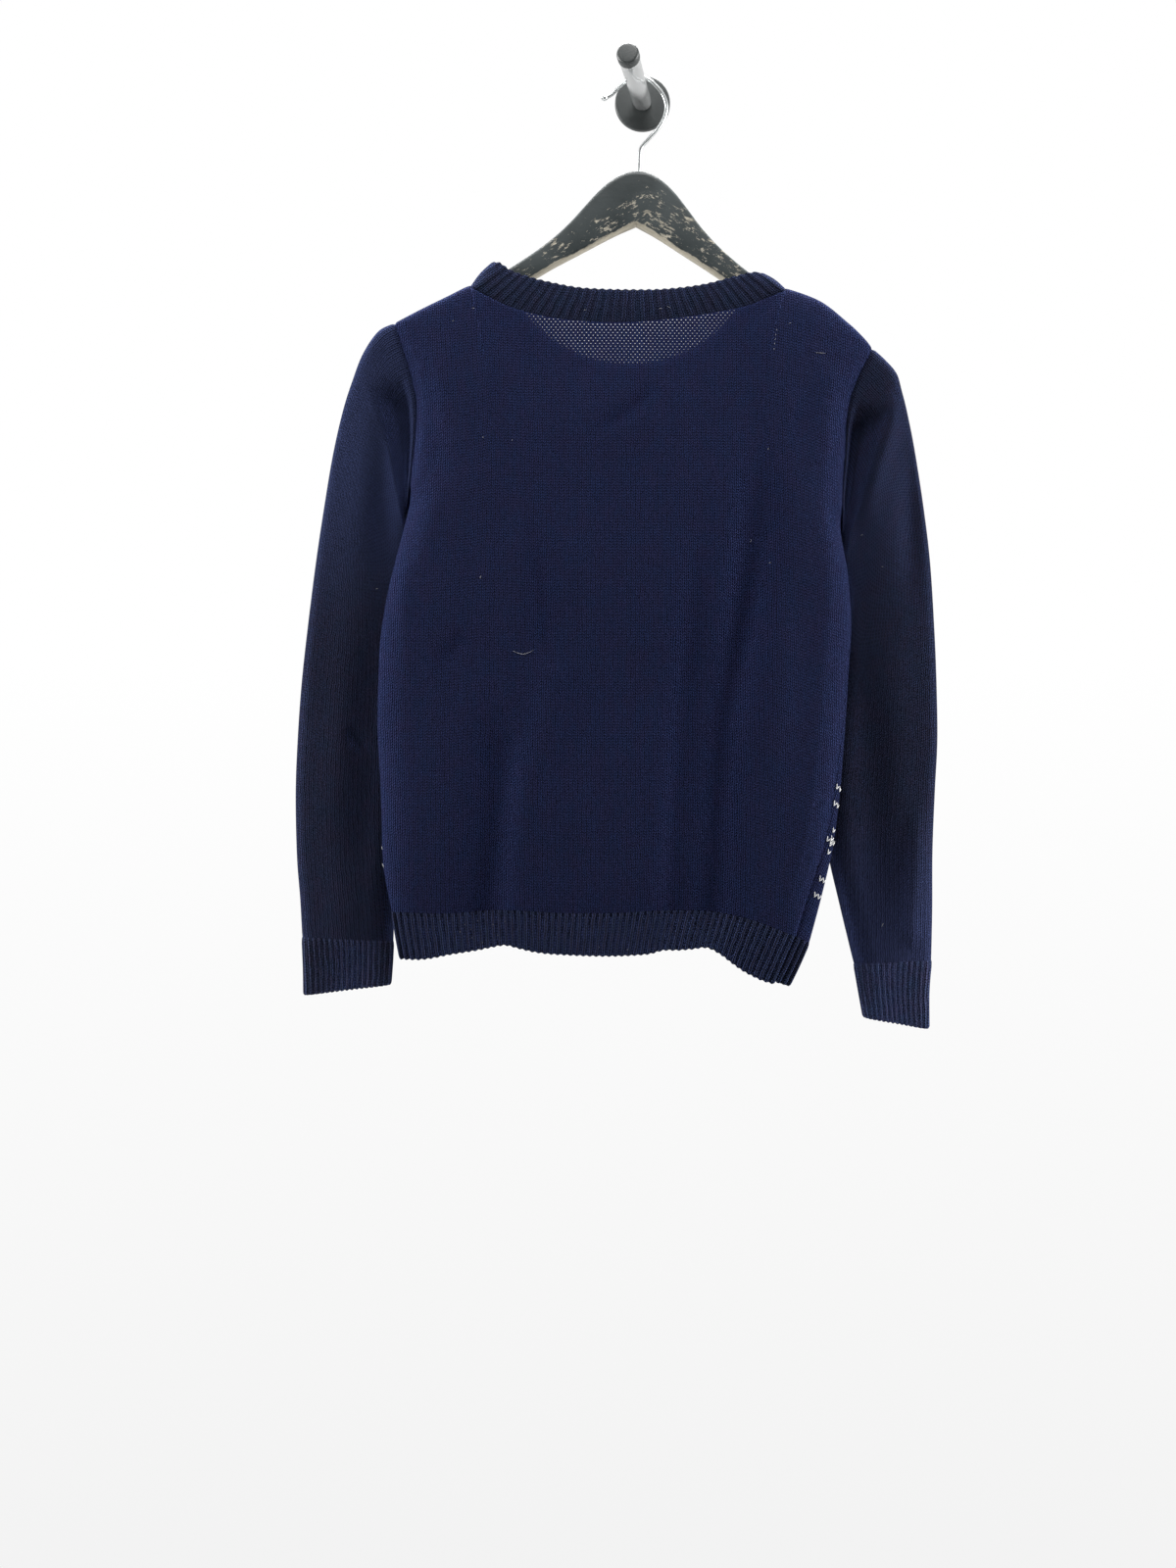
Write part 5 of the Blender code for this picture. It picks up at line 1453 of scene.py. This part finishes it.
def build_hook(plate, chrome, cap):
    """The wall hook's plate, its leaning peg and the cap on the peg's end."""
    axis = (Vector(PEG_END) - Vector(PEG_FOOT)).normalized()
    peg_length = (Vector(PEG_END) - Vector(PEG_FOOT)).length
    foot = Vector(PEG_END) + axis * SEAM_GAP
    disc = turned("plate_disc", (0.0, 0.0, 0.0), (0.0, -PLATE_THICK, 0.0),
                  [(0.0, PLATE_RADIUS)] + rounded(PLATE_THICK, PLATE_RADIUS, PLATE_ROUND), plate)
    middle = (peg_length * 0.5, sum(PEG_RADII) / 2)
    shaft = turned("peg_shaft", PEG_FOOT, PEG_END,
                   [(0.0, PEG_RADII[0]), middle] + rounded(peg_length, PEG_RADII[1], PEG_ROUND, 3),
                   chrome, True)
    inner, rise = CAP_BEVEL
    knob = turned("cap_knob", foot, foot + axis * CAP_LENGTH,
                  [(0.0, CAP_RADIUS - inner), (rise, CAP_RADIUS)]
                  + rounded(CAP_LENGTH, CAP_RADIUS, CAP_ROUND, 7), cap)
    return disc, shaft, knob


# --- the band of white stitches ---------------------------------------------------

def is_white(column, row, width):
    """The chart: row 0 is the band's middle, column 0 is next to the right side's seam."""
    for pair_row, from_right, from_left in PAIR_ROWS:
        if row == pair_row:
            place = (column - from_right if column < width / 2
                     else width - 1 - column - from_left)
            return place % PAIR_REPEAT in (0, 1)
    place = (column - CROSS_AT) % BAND_REPEAT
    from_cross = min(place, BAND_REPEAT - place)
    if abs(row) + from_cross <= 1:
        return True
    if row in DOT_ROWS and from_cross == 0:
        return True
    half = len(SNOWFLAKE[0]) // 2
    across = place - BAND_REPEAT // 2
    return abs(across) <= half and abs(row) < len(SNOWFLAKE) and (
        SNOWFLAKE[abs(row)][across + half] == "#")


def add_leg(bm, origin, right, up, out, side):
    """One leg of a stitch: a short round bar that leans out to a side."""
    rings = []
    for share, radius in zip(LEG_SHARES, LEG_RADII):
        centre = (origin + right * side * (LEG_FOOT + LEG_LEAN * share) + up * (LEG_HALF * share)
                  + out * (LEG_OUT - LEG_BOW * share * share))
        rings.append(round_ring(bm, centre, right * radius, out * radius * LEG_FLAT, LEG_SIDES))
    bridge(bm, rings)


def read(at, run, values):
    """Values given along a run, read at a place on it."""
    return np.array([np.interp(at, run, column) for column in values.T])


def build_motif(grid, mat):
    """White stitches, raised a little, over the front where the chart has them."""
    outer, normal, stitch = grid
    from_seam = stitch[:, -1:, 0] - stitch[:, :, 0]
    reach = max(abs(row) for row, _, _ in PAIR_ROWS)
    bm = bmesh.new()
    for row in range(-reach, reach + 1):
        level = BAND_ROW + row + 0.5
        line, line_n, line_u = [], [], []
        for c in reversed(range(outer.shape[1])):
            v = stitch[:, c, 1]
            line.append(read(level, v, outer[:, c]))
            line_n.append(read(level, v, normal[:, c]))
            line_u.append(np.interp(level, v, from_seam[:, c]))
        line, line_n = np.array(line), np.array(line_n)
        width = int(line_u[-1])
        for column in range(width):
            if not is_white(column, row, width):
                continue
            at = column + 0.5
            origin = read(at, line_u, line)
            out = unit(read(at, line_u, line_n))
            right = unit(read(at + 0.5, line_u, line) - origin)
            right = unit(right - out * float(right @ out))
            up = np.cross(out, right)
            up = up * np.sign(up[2])
            for side in (-1.0, 1.0):
                add_leg(bm, origin, right, up, out, side)
    return finish_mesh("snowflake_band", bm, (mat,), 80)


# --- lint -------------------------------------------------------------------------

LINT_OUT = 0.35  # how far it stands off the cloth
# x, z, length and lean in degrees of each speck or hair
LINT = (
    (-228.4, -425.4, 1.6, 20), (-138, -418.6, 2.2, 70), (-144.7, -188.8, 2.4, 0), (-162, -199.6, 1.8, 40),
    (-136, -300, 1.2, 0), (-111.5, -302.6, 1.4, 80), (112.5, -208, 1.2, 80), (111.5, -212, 1.2, 80),
    (111, -216, 1.2, 80), (110.5, -220, 1.2, 80), (110, -224.5, 1.2, 80), (123.8, -202, 1.6, 30),
    (149.5, -227.5, 9, -4), (104.6, -309.6, 1.5, 60), (90.2, -387.4, 3, 75), (106, -406, 1.6, 20),
    (186.6, -379.8, 2, 30), (204.3, -406.8, 1.4, 0), (205, -713.5, 3.4, 65), (14, -188.8, 3.2, 10),
    (21, -187.6, 2.6, -30), (-50, -190, 2.4, 15), (-156, -718, 1, 80), (-152, -712, 1, 80),
    (-147, -716, 1, 80), (-146, -723, 1, 80), (-141, -709, 1, 80), (-137, -727, 1, 80),
    (-128, -712, 1, 80), (-124, -721, 1, 80), (-118, -709, 1, 80), (-38, -731, 1, 80), (-14, -733, 1, 80),
    (12, -734, 1, 80), (34, -733, 1, 80), (52, -732, 1, 80),
)
LINT_THREAD = ((-110.8, -480.6), (-107, -482.4), (-102.2, -483.2), (-97.4, -482), (-94, -480))
LINT_ON = ("back", "sleeve_left", "sleeve_right", "hem_back", "neck")
LINT_RADIUS = 0.24
LINT_AWAY = 60.0  # the rays that find the cloth start this far behind the hanger
LINT_THICK = (0.3, 0.63) # shares of the radius at a speck's tips, and more at its middle
LINT_SIDES = 6


def build_lint(pieces, mat):
    """Pale specks and one curved thread, lying on the pieces' backs."""
    trees = [BVHTree.FromPolygons([v.co for v in piece.data.vertices],
                                  [tuple(f.vertices) for f in piece.data.polygons])
             for piece in pieces]

    def depth(x, z):
        before = Vector((x, HANG_Y - LINT_AWAY, z)) * MM
        hits = [tree.ray_cast(before, Vector((0.0, 1.0, 0.0)))[0] for tree in trees]
        ahead = [hit for hit in hits if hit is not None]
        if not ahead:
            ahead = [tree.find_nearest(before)[0] for tree in trees]
        return min(ahead, key=lambda hit: (hit - before).length).y / MM - LINT_OUT

    lines = [LINT_THREAD]
    for x, z, size, lean in LINT:
        half = size / 2
        dx, dz = half * math.cos(math.radians(lean)), half * math.sin(math.radians(lean))
        lines.append(((x - dx, z - dz), (x, z), (x + dx, z + dz)))
    thin, more = LINT_THICK
    bm = bmesh.new()
    for line in lines:
        smooth = through(line, 4)
        rings = []
        for place, (x, z) in enumerate(smooth):
            share = place / (len(smooth) - 1)
            radius = LINT_RADIUS * (thin + more * math.sin(math.pi * share))
            before, after = smooth[max(place - 1, 0)], smooth[min(place + 1, len(smooth) - 1)]
            run = after - before
            side = unit(np.array((-run[1], 0.0, run[0])))
            centre = np.array((x, depth(x, z), z))
            rings.append(round_ring(bm, centre, side * radius, np.array((0.0, radius, 0.0)),
                                    LINT_SIDES))
        bridge(bm, rings)
    return finish_mesh("lint_specks", bm, (mat,), 60)


# --- room -------------------------------------------------------------------------

CAMERA_AT = (-0.0475, -1.71, -0.5927)
CAMERA_LENS = 45.0
SEEN_LOW = 0.89  # how white the backdrop is at the bottom; it is 1 at the top
SEEN_SPAN = (-0.38, 0.06)  # heights of the view's directions it changes between
SKY_LIGHT = (0.08, 0.8)  # from in front of the object and from behind it
SKY_SPAN = (-0.6, 0.5)  # depths of the directions that changes between
FLOOR = (1.05, -1.75)  # half width and height, in metres


def build_room():
    """The view, the white backdrop, a pale floor and four lamps."""
    scene = bpy.context.scene
    scene.view_settings.view_transform = "Standard"
    camera_data = bpy.data.cameras.new("camera")
    camera_data.lens = CAMERA_LENS
    camera_data.sensor_width = 36.0
    camera = put("camera", camera_data)
    camera.location = CAMERA_AT
    camera.rotation_euler = (math.radians(90.0), 0.0, 0.0)
    scene.camera = camera
    world = bpy.data.worlds.new("studio")
    scene.world = world
    world.use_nodes = True
    nodes, links = world.node_tree.nodes, world.node_tree.links

    def ranged(value, low=0.0, high=1.0, ends=(0.0, 1.0)):
        node = nodes.new("ShaderNodeMapRange")
        links.new(value, node.inputs["Value"])
        node.inputs["From Min"].default_value = low
        node.inputs["From Max"].default_value = high
        for name, end in zip(("To Min", "To Max"), ends):
            if isinstance(end, float):
                node.inputs[name].default_value = end
            else:
                links.new(end, node.inputs[name])
        return node.outputs[0]

    way = nodes.new("ShaderNodeTexCoord")
    parts = nodes.new("ShaderNodeSeparateXYZ")
    links.new(way.outputs["Generated"], parts.inputs[0])
    seen = ranged(parts.outputs["Z"], *SEEN_SPAN, (SEEN_LOW, 1.0))
    behind = ranged(parts.outputs["Y"], *SKY_SPAN, SKY_LIGHT)
    path = nodes.new("ShaderNodeLightPath")
    sky = nodes["Background"]
    sky.inputs["Color"].default_value = (1.0, 1.0, 1.0, 1.0)
    links.new(ranged(path.outputs["Is Camera Ray"], ends=(behind, seen)),
              sky.inputs["Strength"])
    floor_mesh = bpy.data.meshes.new("floor")
    size, level = FLOOR
    floor_mesh.from_pydata([(-size, -size, level), (size, -size, level), (size, size, level),
                            (-size, size, level)], [], [(0, 1, 2, 3)])
    floor = put("floor", floor_mesh)
    pale = Shader("pale_floor", (0.82, 0.82, 0.82), 0.7)
    floor_mesh.materials.append(pale.mat)
    for name, place, aim, power, size in LAMPS:
        lamp_data = bpy.data.lights.new(name, "AREA")
        lamp_data.energy = power
        lamp_data.size = size
        lamp = put(name, lamp_data)
        lamp.location = place
        lamp.rotation_euler = (Vector(aim) - Vector(place)).to_track_quat("-Z", "Y").to_euler()


LAMPS = (
    ("left_lamp", (-2.1, -0.3, 0.0), (0.0, 0.0, -0.5), 82.0, 1.0),
    ("right_lamp", (2.1, -0.3, -0.05), (0.0, 0.0, -0.5), 76.0, 1.0),
    ("top_lamp", (0.0, -0.9, 1.3), (0.0, 0.0, -0.3), 34.0, 0.8),
    ("crown_lamp", (0.0, 0.5, 1.2), (0.0, 0.0, -0.2), 60.0, 1.0),
)


# --- putting it together ----------------------------------------------------------

# The yarn's darkest and lightest colours in each kind of piece; the cuffs' are lighter as painted light
NAVY = ((0.0026, 0.0033, 0.0110), (0.0150, 0.0200, 0.066))
NAVY_SLEEVE = ((0.0040, 0.0045, 0.0094), (0.0190, 0.0222, 0.0495))
NAVY_NECK = ((0.0036, 0.0044, 0.0098), (0.0205, 0.0258, 0.057))
NAVY_HEM = ((0.0036, 0.0044, 0.0098), (0.0245, 0.030, 0.062))
NAVY_CUFF = ((0.0050, 0.0058, 0.0130), (0.036, 0.0415, 0.084))
# Where a sleeve is painted lighter, as painted light: the heights at which that starts and is full, and
# how much
SLEEVE_LEFT_PAINTED_LIGHT = (-0.470, -0.330, (1.45, 1.65, 1.85))
SLEEVE_RIGHT_PAINTED_LIGHT = (-0.600, -0.735, (1.7, 1.85, 2.1))
# How much lighter each cuff is painted still, as painted light, the right one more than the left
CUFF_LEFT_PAINTED_LIGHT = (1.3, 1.3, 1.25)
CUFF_RIGHT_PAINTED_LIGHT = (1.9, 2.0, 2.1)
PIECES = (
    # piece, the node it replaces, its slot
    ("back", "back_panel", "plain_knit"),
    ("front", "front_panel", "plain_knit"),
    ("sleeve_left", "sleeve_left", "plain_knit"),
    ("sleeve_right", "sleeve_right", "plain_knit"),
    ("cuff_left", "cuff_left", "rib_knit"),
    ("cuff_right", "cuff_right", "rib_knit"),
    ("hem_back", "hem_rib_back", "rib_knit"),
    ("hem_front", "hem_rib_front", "rib_knit"),
    ("neck", "neckband", "rib_knit"),
    ("hanger", "hanger_body", "hanger_paint"),
    ("wire", "hanger_hook", "hanger_wire"),
    ("plate", "wall_plate", "plate_black"),
    ("peg", "wall_peg", "peg_metal"),
    ("cap", "peg_cap", "cap_black"),
)


def cloth_materials():
    """Materials by piece: the back has a second and third where it hangs in one layer."""
    plain = knit("navy_knit", *NAVY)
    thin = knit("navy_knit_thin", *NAVY, holes=0.38)
    thin_in = knit("navy_knit_thin_inside", *NAVY, holes=0.65)
    # Each cuff's colours, painted lighter as painted light
    cuff_left = [scaled(colour, CUFF_LEFT_PAINTED_LIGHT) for colour in NAVY_CUFF]
    cuff_right = [scaled(colour, CUFF_RIGHT_PAINTED_LIGHT) for colour in NAVY_CUFF]
    return {
        "back": (plain, thin, thin_in),
        "front": (plain,),
        "sleeve_left": (knit("navy_sleeve_left", *NAVY_SLEEVE, painted_light=SLEEVE_LEFT_PAINTED_LIGHT),),
        "sleeve_right": (knit("navy_sleeve_right", *NAVY_SLEEVE, painted_light=SLEEVE_RIGHT_PAINTED_LIGHT),),
        "neck": (knit("navy_neck_rib", *NAVY_NECK),),
        "hem": (knit("navy_hem_rib", *NAVY_HEM, shade=0.5),),
        "cuff_left": (knit("navy_cuff_left", *cuff_left, shade=0.45),),
        "cuff_right": (knit("navy_cuff_right", *cuff_right, shade=0.3),),
    }


def main():
    build_room()
    made, front_grid = build_garment(cloth_materials())
    motif = build_motif(front_grid, white_yarn())
    made["hanger"] = build_hanger(worn_wood())
    lint = build_lint([made[key] for key in LINT_ON], pale_lint())
    made["wire"] = build_wire(metal("wire_steel", (0.6, 0.62, 0.62), 0.32, 0.8))
    made["plate"], made["peg"], made["cap"] = build_hook(
        black_paint("plate_paint", 0.5), metal("peg_chrome", (0.64, 0.65, 0.65), 0.24, 0.85),
        black_paint("cap_rubber", 0.45))
    for key, node, slot in PIECES:
        obj = made[key]
        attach(obj, "root")
        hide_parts(node)
    for obj in (motif, lint):
        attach(obj, "root")


main()
